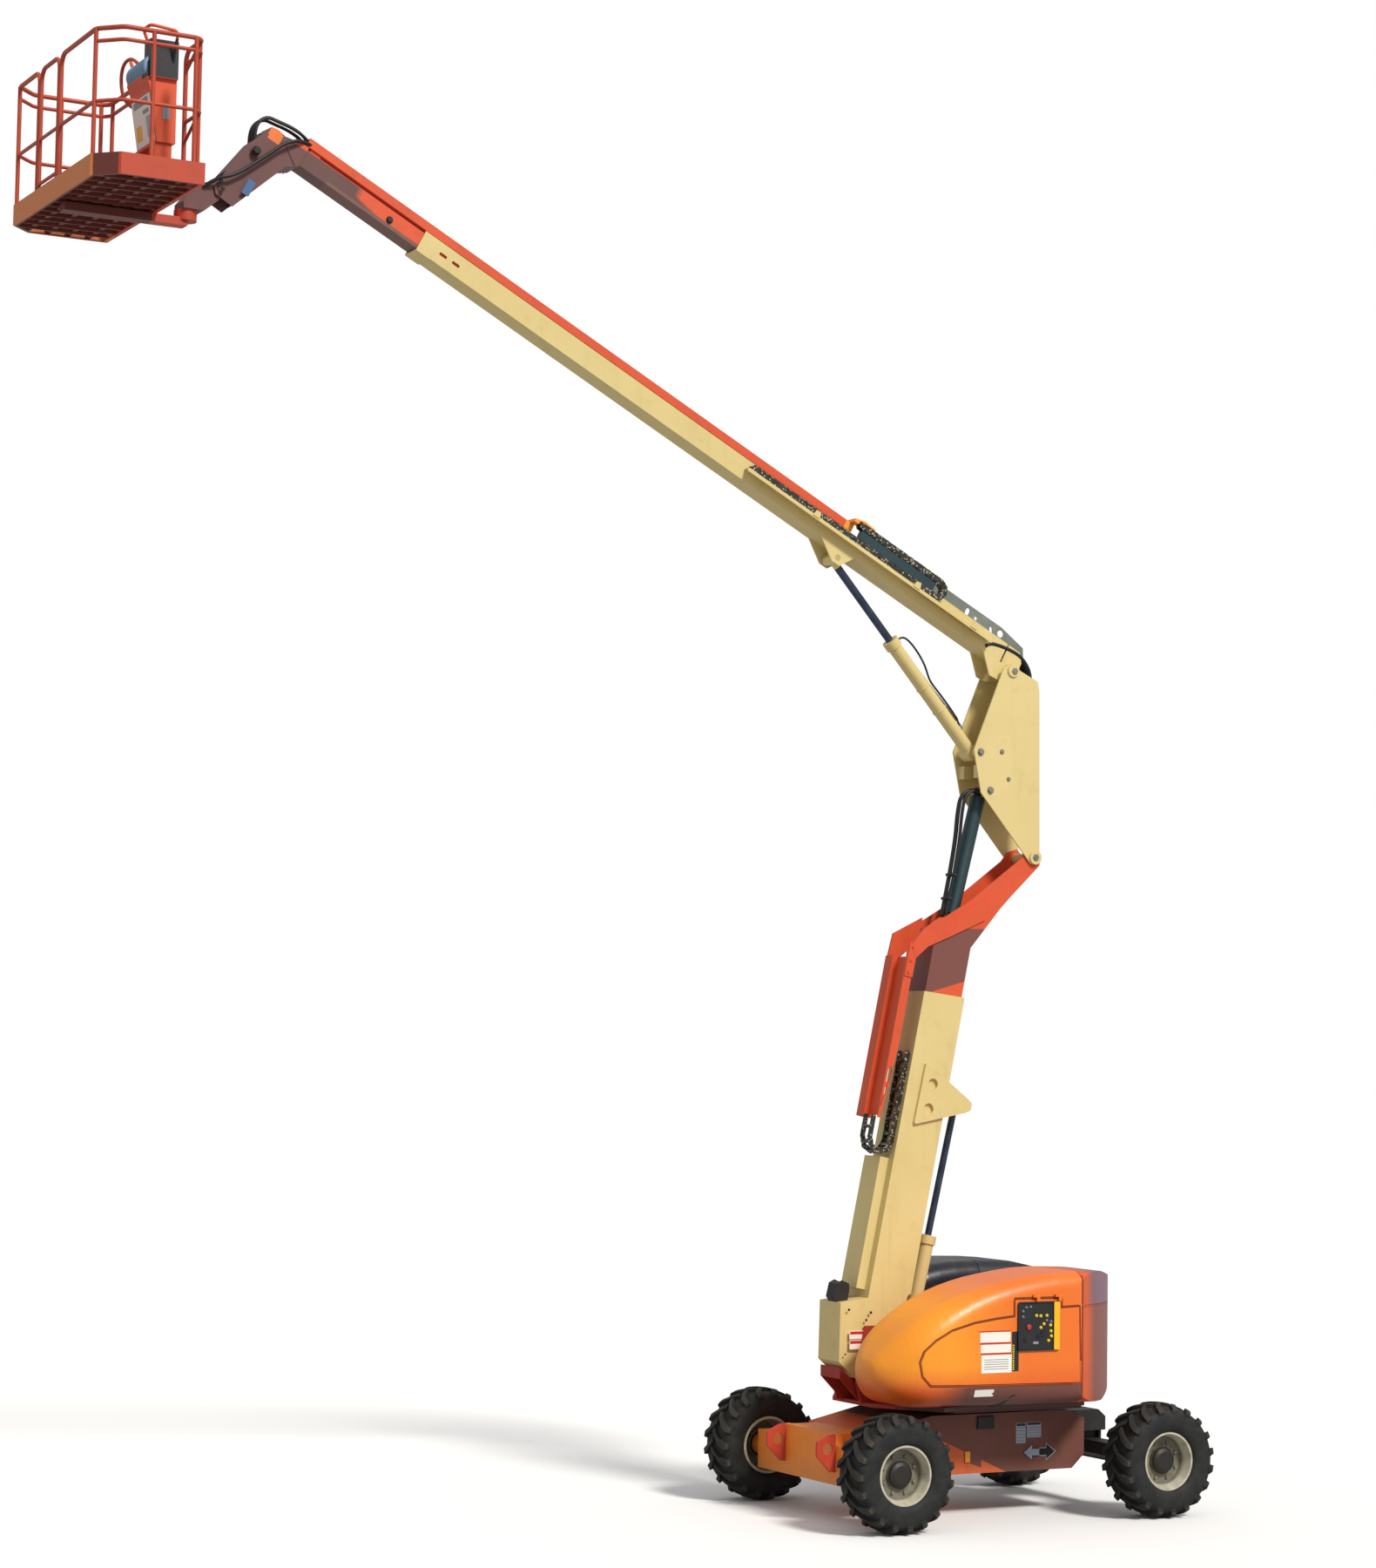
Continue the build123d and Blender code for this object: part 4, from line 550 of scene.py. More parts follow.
def slab(form, centre, side, rise, width, height, thick, rounding, index=0, steps=4):
    """Thin rounded plate: side and rise are its own axes, thick its depth along side x rise."""
    side, rise = Vector(side).normalized(), Vector(rise).normalized()
    out = side.cross(rise)
    centre = Vector(centre)
    outline = []
    for corner, (sx, sy) in enumerate(((1, 1), (-1, 1), (-1, -1), (1, -1))):
        middle = Vector((sx * (width / 2 - rounding), sy * (height / 2 - rounding)))
        for k in range(steps + 1):
            angle = math.pi / 2 * (corner + k / steps)
            outline.append(middle + rounding * Vector((math.cos(angle), math.sin(angle))))
    edge = thick * 0.25
    levels = ((0.0, 0.0), (thick - edge, 0.0), (thick, edge))
    rings = []
    for depth, inset in levels:
        share_x, share_y = 1 - 2 * inset / width, 1 - 2 * inset / height
        rings.append([
            form.verts.new(centre + side * p.x * share_x + rise * p.y * share_y + out * depth)
            for p in outline
        ])
    count = len(outline)
    for low, high in zip(rings, rings[1:]):
        for k in range(count):
            form.faces.new((low[k], low[(k + 1) % count], high[(k + 1) % count],
                            high[k])).material_index = index
    form.faces.new(reversed(rings[0])).material_index = index
    form.faces.new(rings[-1]).material_index = index


def prism(form, points, offset, index=0):
    """Closed flat outline pushed along an offset."""
    low = [form.verts.new(Vector(p)) for p in points]
    high = [form.verts.new(Vector(p) + Vector(offset)) for p in points]
    count = len(points)
    for k in range(count):
        form.faces.new((low[k], low[(k + 1) % count], high[(k + 1) % count], high[k])).material_index = index
    form.faces.new(reversed(low)).material_index = index
    form.faces.new(high).material_index = index


def hose_curve(name, points, radius, body, material, other=None, free=True):
    """Hose or pipe as a tube along one smooth NURBS line; free changes nothing. Given other, the tube becomes
    a plain mesh on no body, and what other holds is not used.
    """
    curve = bpy.data.curves.new(name, "CURVE")
    curve.dimensions = "3D"
    curve.resolution_u = 10
    curve.use_fill_caps = True
    spline = curve.splines.new("NURBS")
    spline.points.add(len(points) - 1)
    for point, place in zip(spline.points, points):
        point.co = (*place, 1.0)
    spline.order_u = 3
    spline.use_endpoint_u = True
    curve.materials.append(material)
    made = bpy.data.objects.new(name, curve)
    bpy.context.collection.objects.link(made)
    bpy.context.view_layer.update()
    line = bpy.data.meshes.new_from_object(made.evaluated_get(bpy.context.evaluated_depsgraph_get()))
    curve.bevel_depth = radius
    curve.bevel_resolution = 4
    if other:
        bpy.context.view_layer.update()
        tube = bpy.data.meshes.new_from_object(made.evaluated_get(bpy.context.evaluated_depsgraph_get()))
        tube.shade_smooth()
        bpy.data.objects.remove(made)
        made = bpy.data.objects.new(name, tube)
        bpy.context.collection.objects.link(made)
        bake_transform(made)
    else:
        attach(made, body)
    if not free:
        return made
    return made


# ---------------------------------------------------------------- tyres
LUGS = 19
TREAD_BASE = 0.424
# carcass from one bead to the other: across the tyre, radius
CARCASS = (
    (-0.146, 0.2325), (-0.160, 0.240), (-0.174, 0.262), (-0.1795, 0.300), (-0.1800, 0.335), (-0.176, 0.372),
    (-0.166, 0.398), (-0.146, 0.414), (-0.105, 0.421), (-0.05, 0.4235), (0.0, TREAD_BASE),
)
# one lug from the middle of the tread over the shoulder: across, lead angle in degrees, top radius, base
# radius, half width along the tread
LUG_STATIONS = (
    (-0.012, -2.0, 0.4535, 0.418, 0.024),
    (0.030, 3.0, 0.4545, 0.418, 0.028),
    (0.078, 8.0, 0.4530, 0.412, 0.031),
    (0.122, 11.5, 0.4490, 0.404, 0.033),
    (0.158, 13.5, 0.4400, 0.392, 0.034),
    (0.1785, 14.0, 0.4230, 0.385, 0.034),
    (0.1805, 14.0, 0.4020, 0.370, 0.030),
)


def tyre_mesh(form, centre):
    """Carcass by revolution, and two staggered rows of lugs that lead towards each other."""
    rows = list(CARCASS) + [(-across, radius) for across, radius in reversed(CARCASS[:-1])]
    steps = 96

    def spot(across, radius, angle):
        return centre + Vector((radius * math.cos(angle), across, radius * math.sin(angle)))

    rings = [[form.verts.new(spot(a, r, math.tau * k / steps)) for k in range(steps)] for a, r in rows]
    for low, high in zip(rings, rings[1:]):
        for k in range(steps):
            form.faces.new((low[k], high[k], high[(k + 1) % steps], low[(k + 1) % steps]))
    for hand in (-1, 1):
        for number in range(LUGS):
            middle = math.tau * (number + (0.25 if hand > 0 else -0.25)) / LUGS
            sections = []
            for across, lead, top, base, half in LUG_STATIONS:
                angle = middle + math.radians(lead)
                wide, tight = half / 0.43, half * 0.78 / 0.45
                normal_in = 0.006 if across > 0.17 else 0.0
                sections.append([
                    form.verts.new(spot(hand * (across - normal_in), base, angle - wide)),
                    form.verts.new(spot(hand * across, top, angle - tight)),
                    form.verts.new(spot(hand * across, top, angle + tight)),
                    form.verts.new(spot(hand * (across - normal_in), base, angle + wide)),
                ])
            for one, two in zip(sections, sections[1:]):
                for k in range(4):
                    face = form.faces.new((one[k], one[(k + 1) % 4], two[(k + 1) % 4], two[k]))
                    face.material_index = 1 if k == 1 else 0
            form.faces.new(reversed(sections[0]))
            form.faces.new(sections[-1])
    bmesh.ops.recalc_face_normals(form, faces=form.faces)
    bevelled = [e for e in form.edges if e.calc_face_angle(0.0) > math.radians(55) and not e.is_boundary]
    bmesh.ops.bevel(form, geom=bevelled, offset=0.004, segments=1, affect="EDGES", clamp_overlap=True)


def make_tyres():
    for corner in ("rear_left", "rear_right", "front_left", "front_right"):
        low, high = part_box(f"tyre_{corner}")
        centre = (Vector(low) + Vector(high)) / 2
        made = piece(
            f"tread_{corner}", lambda form, c=centre: tyre_mesh(form, c), (rubber, lug_rubber),
            f"{corner}_wheel",
        )
        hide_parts(f"tyre_{corner}")


make_tyres()

# ---------------------------------------------------------------- plates and marks
SIDE = (1, 0, 0)
UP = (0, 0, 1)
POD_SIDE = -1.1504
CHASSIS_SIDE = -0.5003


def side_slab(form, x_range, z_range, y, thick, rounding, index):
    """Plate on a right-hand side wall, between its ends in x and z."""
    slab(
        form, ((x_range[0] + x_range[1]) / 2, y, (z_range[0] + z_range[1]) / 2), SIDE, UP,
        x_range[1] - x_range[0], z_range[1] - z_range[0], thick, rounding, index,
    )


def hood_plates(form):
    """Blank white plates with red bars, and a black strip with yellow ticks beside them."""
    for x_range, z_range in (
        ((-0.535, -0.252), (1.441, 1.520)), ((-0.529, -0.246), (1.360, 1.425)),
        ((-0.522, -0.240), (1.204, 1.344)),
    ):
        side_slab(form, x_range, z_range, POD_SIDE, 0.0015, 0.004, 0)
    for x_range, z_range in (
        ((-0.541, -0.252), (1.521, 1.531)), ((-0.532, -0.248), (1.427, 1.439)),
        ((-0.526, -0.243), (1.346, 1.358)),
    ):
        side_slab(form, x_range, z_range, POD_SIDE, 0.0015, 0.002, 1)
    side_slab(form, (-0.238, -0.174), (1.212, 1.519), POD_SIDE, 0.0012, 0.004, 2)
    for number in range(12):
        low = 1.222 + 0.017 * number
        side_slab(form, (-0.234, -0.216), (low, low + 0.008), POD_SIDE - 0.0012, 0.0008, 0.001, 3)
    for row in range(5):
        low = 1.232 + 0.018 * row
        side_slab(form, (-0.495, -0.270), (low, low + 0.006), POD_SIDE - 0.0015, 0.0004, 0.001, 4)


piece("hood_plates", hood_plates, (plate_white, plate_red, plate_black, mark_yellow, plate_grey),
      "right_hood", False)


def skirt_plate(form):
    """Small blank plate low on the pod, where its side starts to turn under, and a rubber door latch."""
    lean = math.radians(19)
    centre = (-0.49, -0.98 - 0.1705 * math.cos(lean), 1.105 - 0.1705 * math.sin(lean))
    slab(form, centre, SIDE, (0, -math.sin(lean), math.cos(lean)), 0.178, 0.058, 0.0015, 0.004, 0)
    strip = []
    for step in range(7):
        lean = math.radians(26 + 9 * step)
        middle = -0.205 - 0.022 * step
        y, z = -0.98 - 0.171 * math.cos(lean), 1.105 - 0.171 * math.sin(lean)
        out = Vector((0, -math.cos(lean), -math.sin(lean))) * 0.008
        strip.append([form.verts.new(p) for p in (
            Vector((middle - 0.026, y, z)), Vector((middle + 0.026, y, z)),
            Vector((middle + 0.022, y, z)) + out, Vector((middle - 0.022, y, z)) + out,
        )])
    for one, two in zip(strip, strip[1:]):
        for k in range(4):
            form.faces.new((one[k], two[k], two[(k + 1) % 4], one[(k + 1) % 4])).material_index = 1
    form.faces.new(strip[0]).material_index = 1
    form.faces.new(reversed(strip[-1])).material_index = 1


piece("skirt_plate", skirt_plate, (plate_white, black), "turntable", False)


def control_face(form):
    """Switches, buttons and dials in the sunk face of the ground control box."""
    face = -1.1592
    out = (0, -1, 0)
    for x, z in (
        (-0.015, 1.639), (0.025, 1.636), (0.083, 1.638), (0.055, 1.573), (0.026, 1.545), (0.118, 1.562),
        (0.122, 1.516), (0.126, 1.477), (0.100, 1.442),
    ):
        ring_profile(form, (x, face, z), out, ((0, 0.0125), (0.004, 0.0125), (0.005, 0.009), (0.013, 0.007)),
                     16, 0)
    for x, z in ((-0.111, 1.706), (-0.070, 1.709), (-0.142, 1.676), (-0.141, 1.633), (0.083, 1.600),
                 (0.124, 1.590)):
        ring_profile(form, (x, face, z), out, ((0, 0.010), (0.003, 0.010), (0.0035, 0.005), (0.015, 0.004)),
                     12, 1)
    ring_profile(
        form, (-0.089, face, 1.552), out,
        ((0, 0.013), (0.005, 0.013), (0.006, 0.021), (0.010, 0.021), (0.013, 0.014)), 24, 2,
    )
    for x, z, radius in ((0.050, 1.497, 0.024), (0.010, 1.478, 0.020), (-0.115, 1.452, 0.016)):
        ring_profile(form, (x, face, z), out, ((0, radius), (0.006, radius), (0.007, radius - 0.004)), 24, 3)
    side_slab(form, (-0.045, 0.005), (1.418, 1.437), face, 0.0012, 0.002, 1)
    side_slab(form, (0.149, 0.205), (1.370, 1.745), -1.1661, 0.0012, 0.010, 4)


piece("control_face", control_face, (mark_yellow, plate_grey, plate_red, gauge_black, bright_yellow),
      "right_hood")


def chassis_marks(form):
    """Blank grey plates, a generic two-way arrow, a side reflector and a rubber step pad."""
    y = CHASSIS_SIDE
    side_slab(form, (0.245, 0.337), (0.560, 0.722), y, 0.0015, 0.004, 0)
    side_slab(form, (0.350, 0.488), (0.602, 0.724), y, 0.0015, 0.004, 0)
    for x_range, low, count, pitch in (((0.252, 0.330), 0.575, 5, 0.026), ((0.358, 0.480), 0.612, 4, 0.022)):
        for row in range(count):
            side_slab(form, x_range, (low + pitch * row, low + pitch * row + 0.010), y - 0.0015, 0.0004,
                      0.001, 1)
    side_slab(form, (0.250, 0.332), (0.697, 0.718), y - 0.0015, 0.0005, 0.002, 2)
    side_slab(form, (0.356, 0.482), (0.702, 0.720), y - 0.0015, 0.0005, 0.002, 2)
    middle_x, middle_z = 0.470, 0.484
    for grow, depth, colours in ((0.008, 0.0, (2, 0)), (0.0, 0.0015, (0, 2))):
        for hand, index in zip((-1, 1), colours):
            tip, neck = 0.150 + 1.6 * grow, 0.070 - 0.6 * grow
            head, shaft = 0.060 + 1.4 * grow, 0.026 + grow
            outline = [
                (0, -shaft), (neck, -shaft), (neck, -head), (tip, 0), (neck, head), (neck, shaft), (0, shaft),
            ]
            points = [(middle_x + hand * px, y - depth, middle_z + pz) for px, pz in outline]
            if hand < 0:
                points.reverse()
            prism(form, points, (0, -0.0015, 0), index)
    side_slab(form, (-0.250, -0.190), (0.424, 0.524), y, 0.004, 0.006, 3)
    side_slab(form, (-0.243, -0.197), (0.432, 0.516), y - 0.004, 0.004, 0.006, 4)
    side_slab(form, (-0.132, 0.027), (0.688, 0.790), y, 0.016, 0.008, 2)


piece(
    "chassis_marks", chassis_marks, (plate_silver, plate_grey, plate_black, plate_red, reflector), "chassis",
    False,
)


def foot_plates(form):
    """Blank plates on the right-hand wall of the tower foot."""
    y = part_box("tower_base")[0].y - 0.0003
    side_slab(form, (-1.143, -0.935), (1.403, 1.470), y, 0.0012, 0.004, 0)
    side_slab(form, (-1.141, -1.018), (1.322, 1.396), y, 0.0012, 0.004, 0)
    side_slab(form, (-1.137, -1.000), (1.440, 1.464), y - 0.0012, 0.0005, 0.002, 1)
    side_slab(form, (-1.136, -1.023), (1.366, 1.391), y - 0.0012, 0.0005, 0.002, 1)


piece("foot_plates", foot_plates, (plate_white, plate_red), "tower", False)


# ---------------------------------------------------------------- bolts and pin keepers
def upright_bolts(form):
    low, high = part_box("upright")
    for y, out in ((low.y, (0, -1, 0)), (high.y, (0, 1, 0))):
        for x, z, size in (
            (0.385, 6.843, 0.030), (0.065, 6.157, 0.026), (0.272, 6.168, 0.016), (0.341, 5.945, 0.016),
            (0.163, 5.845, 0.026), (0.610, 5.307, 0.030),
        ):
            hex_bolt(form, (x, y, z), out, size)


def foot_bolts(form):
    low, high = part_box("tower_base")
    for y, out in ((low.y, (0, -1, 0)), (high.y, (0, 1, 0))):
        for x, z, size in ((-1.150, 1.636, 0.009), (-0.946, 1.609, 0.010), (-0.988, 1.551, 0.009),
                           (-1.180, 1.285, 0.007)):
            hex_bolt(form, (x, y, z), out, size)


piece("foot_bolts", foot_bolts, (dark_steel,), "tower")
piece("upright_bolts", upright_bolts, (steel,), "upright_frame")


# ---------------------------------------------------------------- hoses
def cylinder_point(along, off, y=0.0):
    """Point beside the main lift cylinder: along it from its base eye, off its axis towards the boom."""
    base = upright_point(-0.543, 0.850, 0.0)
    axis = (boom_point(1.855, -0.052, 0.0) - base).normalized()
    side = Vector((-axis.z, 0.0, axis.x)) * -1.0
    return base + axis * along + side * off + Vector((0, y, 0))


hose_curve(
    "lift_hose",
    [cylinder_point(*p) for p in (
        (1.150, 0.060, -0.02), (1.145, 0.105, -0.02), (1.080, 0.135, -0.02), (0.960, 0.140, -0.02),
        (0.840, 0.125, -0.02), (0.760, 0.095, -0.02), (0.700, 0.075, -0.02), (0.600, 0.078, -0.02),
        (0.480, 0.082, -0.02), (0.360, 0.080, -0.02), (0.280, 0.074, -0.02), (0.250, 0.050, -0.02),
    )],
    0.0085, "boom_lift_tube", hose,
)
hose_curve(
    "lift_pipe",
    [cylinder_point(*p) for p in (
        (0.180, 0.055, 0.02), (0.190, 0.088, 0.02), (0.260, 0.090, 0.02), (0.420, 0.086, 0.02),
        (0.700, 0.070, 0.02),
        (1.000, 0.066, 0.02), (1.100, 0.068, 0.02),
    )],
    0.007, "boom_lift_tube", steel, free=False,
)


def lift_fittings(form):
    """Clamp bands, port blocks and the small valve on the main lift cylinder."""
    for along, size in ((0.700, 0.016), (0.250, 0.018), (1.150, 0.016)):
        hex_bolt(form, cylinder_point(along, 0.052), cylinder_point(0, 1) - cylinder_point(0, 0), size, 0)
    axis = cylinder_point(1, 0) - cylinder_point(0, 0)
    for along in (0.690, 0.450):
        ring_profile(form, cylinder_point(along, 0), axis, (
            (0.018, 0.0572), (0, 0.0572), (0, 0.0605), (0.002, 0.0625), (0.016, 0.0625), (0.018, 0.0605),
        ), 32, 1, True)
    centre = cylinder_point(0.33, 0.085, 0.0)
    slab(form, centre + Vector((0, 0.03, 0)), axis, cylinder_point(0, 1) - cylinder_point(0, 0), 0.11, 0.06,
         0.05, 0.006, 1)


piece("lift_fittings", lift_fittings, (steel, cream), "boom_lift_tube")

for number, (y, lift) in enumerate(((-0.095, 0.0), (-0.055, 0.016), (-0.015, 0.0), (0.025, 0.014),
                                    (0.065, 0.0))):
    hose_curve(
        f"pivot_hose_{number}",
        [
            upright_point(x, z + lift, y) for x, z in (
                (-0.470, 1.735), (-0.430, 1.765), (-0.330, 1.750), (-0.230, 1.722), (-0.130, 1.680),
                (-0.060, 1.612),
                (-0.020, 1.530), (-0.020, 1.430), (-0.060, 1.330), (-0.090, 1.180),
            )
        ],
        0.017, "upright_frame", hose, ("boom_base", upright_point(-0.020, 1.400, 0),
                                       upright_point(-0.300, 1.740, 0)),
    )

for number, (y, off) in enumerate(((-0.092, 0.004), (-0.056, -0.010), (-0.018, 0.004))):
    hose_curve(
        f"level_hose_{number}",
        [tower_point(t, n + off, y) for t, n in (
            (4.545, 0.150), (4.559, 0.107), (4.534, 0.031), (4.470, -0.016), (4.360, -0.016), (4.260, -0.008),
            (4.163, 0.004),
            (4.000, 0.012), (3.795, 0.014), (3.600, 0.012), (3.480, 0.012),
        )],
        0.014, "tower_slider", hose, ("upright_frame", tower_point(3.900, 0.010, 0),
                                      tower_point(4.540, 0.130, 0)),
    )
LEVEL_BASE = tower_point(2.255, 0.051, 0.0)
LEVEL_PIN = upright_point(-0.450, 0.535, 0.0)


def level_guard(form):
    """Guard tube that hangs from the levelling rod and slides over its barrel, with a rolled lower edge."""
    axis = (LEVEL_PIN - LEVEL_BASE).normalized()
    span = (LEVEL_PIN - LEVEL_BASE).length
    ring_profile(
        form, LEVEL_BASE, axis, (
            (span - 0.060, 0.022), (span - 0.060, 0.0580), (1.300, 0.0580), (1.262, 0.0590), (1.258, 0.0625),
            (1.262, 0.0660), (1.276, 0.0640), (1.290, 0.0620), (span - 0.052, 0.0620), (span - 0.046, 0.0560),
            (span - 0.046, 0.022),
        ), 40, 0, True,
    )


piece("level_guard", level_guard, (teal,), "level_piston")


def clamp_bands(form):
    """Straps that hold the hoses together where they climb beside the guard tube."""
    along = tower_point(1, 0, 0) - tower_point(0, 0, 0)
    for t, n in ((3.820, 0.014), (3.620, 0.012)):
        slab(form, tower_point(t, n + 0.021, -0.055), (0, -1, 0), along, 0.116, 0.024, 0.046, 0.006)


piece("hose_straps", clamp_bands, (black,), "tower_slider")

nose_hose_points = [boom_point(u, v, y) for u, v, y in (
    (7.225, 0.225, -0.080), (7.300, 0.205, -0.120), (7.372, 0.150, -0.165), (7.440, 0.075, -0.172),
    (7.490, -0.040, -0.172), (7.548, -0.165, -0.172), (7.606, -0.288, -0.172), (7.668, -0.385, -0.172),
    (7.742, -0.447, -0.165),
)] + [Vector((-6.775, -0.112, 9.985))]
hose_curve("nose_hose", nose_hose_points, 0.014, "boom_slider", hose)
for number, (y, reach) in enumerate(((-0.060, 0.0), (-0.020, 0.02), (0.020, 0.0), (0.060, 0.015))):
    hose_curve(
        f"loop_hose_{number}",
        [boom_point(u, v, y) for u, v in (
            (7.220, 0.235), (7.300, 0.262 + reach), (7.420, 0.262 + reach), (7.540, 0.235 + reach),
            (7.620, 0.220 + reach),
            (7.665, 0.150), (7.650, 0.060), (7.612, -0.010),
        )],
        0.012, "boom_slider", hose,
    )


# ---------------------------------------------------------------- boom nose and console details
def nose_marks(form):
    """Bolts and a blank blue plate on the right-hand cheek of the nose."""
    y = -0.1505
    hex_bolt(form, boom_point(7.591, -0.093, y), (0, -1, 0), 0.030, 0)
    for out, up in ((7.705, -0.452), (7.668, -0.492)):
        hex_bolt(form, boom_point(out, up, y), (0, -1, 0), 0.014, 0)
    side = boom_point(7.60, -0.30, y) - boom_point(7.50, -0.30, y)
    rise = boom_point(7.50, -0.20, y) - boom_point(7.50, -0.30, y)
    centre = boom_point(7.505, -0.372, y)
    out = Vector(side).normalized().cross(Vector(rise).normalized())
    if out.y > 0:
        side = -side
    slab(form, centre, side, rise, 0.062, 0.125, 0.0015, 0.004, 1)


piece("nose_marks", nose_marks, (dark_steel, plate_blue), "boom_slider")


def fly_bolts(form):
    low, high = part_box("main_fly")
    for y, out in ((low.y, (0, -1, 0)), (high.y, (0, 1, 0))):
        hex_bolt(form, boom_point(6.437, 0.098, y), out, 0.024)


def track_gap_painted_shade(form):
    """Dark teal sheet between the two runs of the boom's hose track: painted shade, standing for the wall
    behind the chain in the chain's shadow.
    """
    corners = ((0.985, 0.166), (1.790, 0.166), (1.790, 0.243), (0.985, 0.243))
    prism(form, [boom_point(u, v, -0.160) for u, v in corners], (0, 0.048, 0), 0)


piece("track_gap_painted_shade", track_gap_painted_shade, (teal,), "boom_base", False)


def deck_mesh(form):
    """Sheet of expanded mesh between the platform's floor bars, with cut corners."""
    low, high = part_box("platform_rails")
    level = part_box("console")[0].z - 0.0012
    cut, margin = 0.17, 0.020
    x0, x1, y0, y1 = low.x + margin, high.x - margin, low.y + margin, high.y - margin
    outline = (
        (x0 + cut, y0), (x1 - cut, y0), (x1, y0 + cut), (x1, y1 - cut), (x1 - cut, y1), (x0 + cut, y1),
        (x0, y1 - cut), (x0, y0 + cut),
    )
    prism(form, [(x, y, level - 0.001) for x, y in outline], (0, 0, 0.001), 0)


def make_mesh_finish():
    """Expanded mesh: crossing strands in orange over dark diamonds; the diamonds are painted shade standing
    for the openings.
    """
    material, tree, shader, coords = start("expanded_mesh")
    strands = None
    for turn in (0.46, -0.46):
        place = add(tree, "ShaderNodeMapping")
        place.inputs["Rotation"].default_value = (0, 0, turn)
        tree.links.new(coords, place.inputs["Vector"])
        wave = add(tree, "ShaderNodeTexWave", wave_profile="SIN")
        wave.inputs["Scale"].default_value = 11.0
        wave.inputs["Distortion"].default_value = 0.3
        tree.links.new(place.outputs["Vector"], wave.inputs["Vector"])
        lines = ramp(tree, wave.outputs["Fac"], 0.45, 0.75)
        strands = lines if strands is None else times(tree, strands, lines)
    paint_colour = mix(tree, ramp(tree, noise(tree, coords, 2.2, 3.0), 0.38, 0.62), srgb(88, 36, 32),
                       srgb(186, 84, 46))
    base = mix(tree, strands, paint_colour, srgb(34, 20, 24))
    tree.links.new(base, shader.inputs["Base Color"])
    shader.inputs["Roughness"].default_value = 0.6
    bump(tree, shader, strands, 0.6, 0.004)
    return material


piece("deck_mesh", deck_mesh, (make_mesh_finish(),), "platform", False)
piece("fly_bolts", fly_bolts, (dark_steel,), "boom_slider")


def console_roll(form):
    """Ribbed rubber roll along the top of the operator's console."""
    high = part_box("console")[1]
    start_y, end_y = -0.436, -0.024
    profile = []
    ribs = 7
    pitch = (end_y - start_y) / ribs
    for rib in range(ribs):
        for share, radius in ((0.0, 0.088), (0.12, 0.099), (0.80, 0.099), (0.92, 0.088)):
            profile.append(((rib + share) * pitch, radius))
    ring_profile(form, (high.x - 0.150, start_y, 10.7283), (0, 1, 0), profile, 36, 0)


def console_plates(form):
    """Blank panel on the console's sloped face, with bars across it, and a small plate on its side."""
    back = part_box("console")[1].x
    foot, head = Vector((back - 0.140, 0, 10.178)), Vector((back - 0.205, 0, 10.583))
    rise = (head - foot).normalized()
    out = Vector((-rise.z, 0, rise.x)) * 0.0004
    for share, y, width, height, depth, index in (
        (0.47, -0.225, 0.385, 0.345, 0.0, 0), (0.80, -0.215, 0.300, 0.050, 4.0, 1),
        (0.62, -0.300, 0.120, 0.030, 4.0, 1),
        (0.34, -0.330, 0.090, 0.150, 4.0, 2), (0.30, -0.120, 0.110, 0.110, 4.0, 3),
    ):
        centre = foot.lerp(head, share) + out * (1 + depth) + Vector((0, y, 0))
        slab(form, centre, (0, -1, 0), rise, width, height, 0.0015, 0.006, index)
    slab(form, (back - 0.075, -0.4404, 10.400), (1, 0, 0), (0, 0, 1), 0.055, 0.100, 0.0015, 0.004, 1)


piece("console_plates", console_plates, (plate_white, plate_grey, plate_silver, bright_yellow), "platform",
      False)
hose_curve(
    "console_hoop",
    [Vector((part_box("console")[1].x + x, y, 9.9933 + z)) for x, y, z in (
        (-0.170, -0.060, 0.845), (-0.180, 0.020, 0.905), (-0.200, 0.120, 0.905), (-0.210, 0.180, 0.850),
        (-0.210, 0.190, 0.740), (-0.190, 0.170, 0.620), (-0.140, 0.080, 0.540), (-0.090, -0.030, 0.500),
    )],
    0.013, "platform", rail_orange, free=False,
)
piece("console_roll", console_roll, (blue_rubber,), "platform")


# ---------------------------------------------------------------- door and tail seams
def seam_strip(form, shell, points, width, closed, steps=14):
    """Thin strip on the shell's outer side along points in x and z, its width to the right of them."""
    line = []
    count = len(points)
    for k in range(count if closed else count - 1):
        one, two = Vector(points[k]), Vector(points[(k + 1) % count])
        line += [one.lerp(two, share / steps) for share in range(steps)]
    if not closed:
        line.append(Vector(points[-1]))
    rows = []
    for k, spot in enumerate(line):
        before = line[k - 1] if closed or k else spot
        after = line[(k + 1) % len(line)] if closed or k + 1 < len(line) else spot
        along = (after - before).normalized()
        aside = Vector((along.y, -along.x))
        row = []
        for share in (0.2, 1.2):
            place = spot + aside * width * share
            hit = shell.ray_cast(Vector((place.x, -1.5, place.y)), Vector((0, 1, 0)))[0]
            row.append(hit)
        rows.append(None if None in row or (row[0] - row[1]).length > 3 * abs(width) else row)
    pairs = list(zip(rows, rows[1:] + rows[:1])) if closed else list(zip(rows, rows[1:]))
    for one, two in pairs:
        if one is None or two is None or (one[0] - two[0]).length > 0.12:
            continue
        low = [form.verts.new(p + Vector((0, -0.0003, 0))) for p in (one[0], one[1], two[1], two[0])]
        high = [form.verts.new(v.co + Vector((0, -0.0009, 0))) for v in low]
        for k in range(4):
            form.faces.new((low[k], low[(k + 1) % 4], high[(k + 1) % 4], high[k]))
        form.faces.new(reversed(low))
        form.faces.new(high)


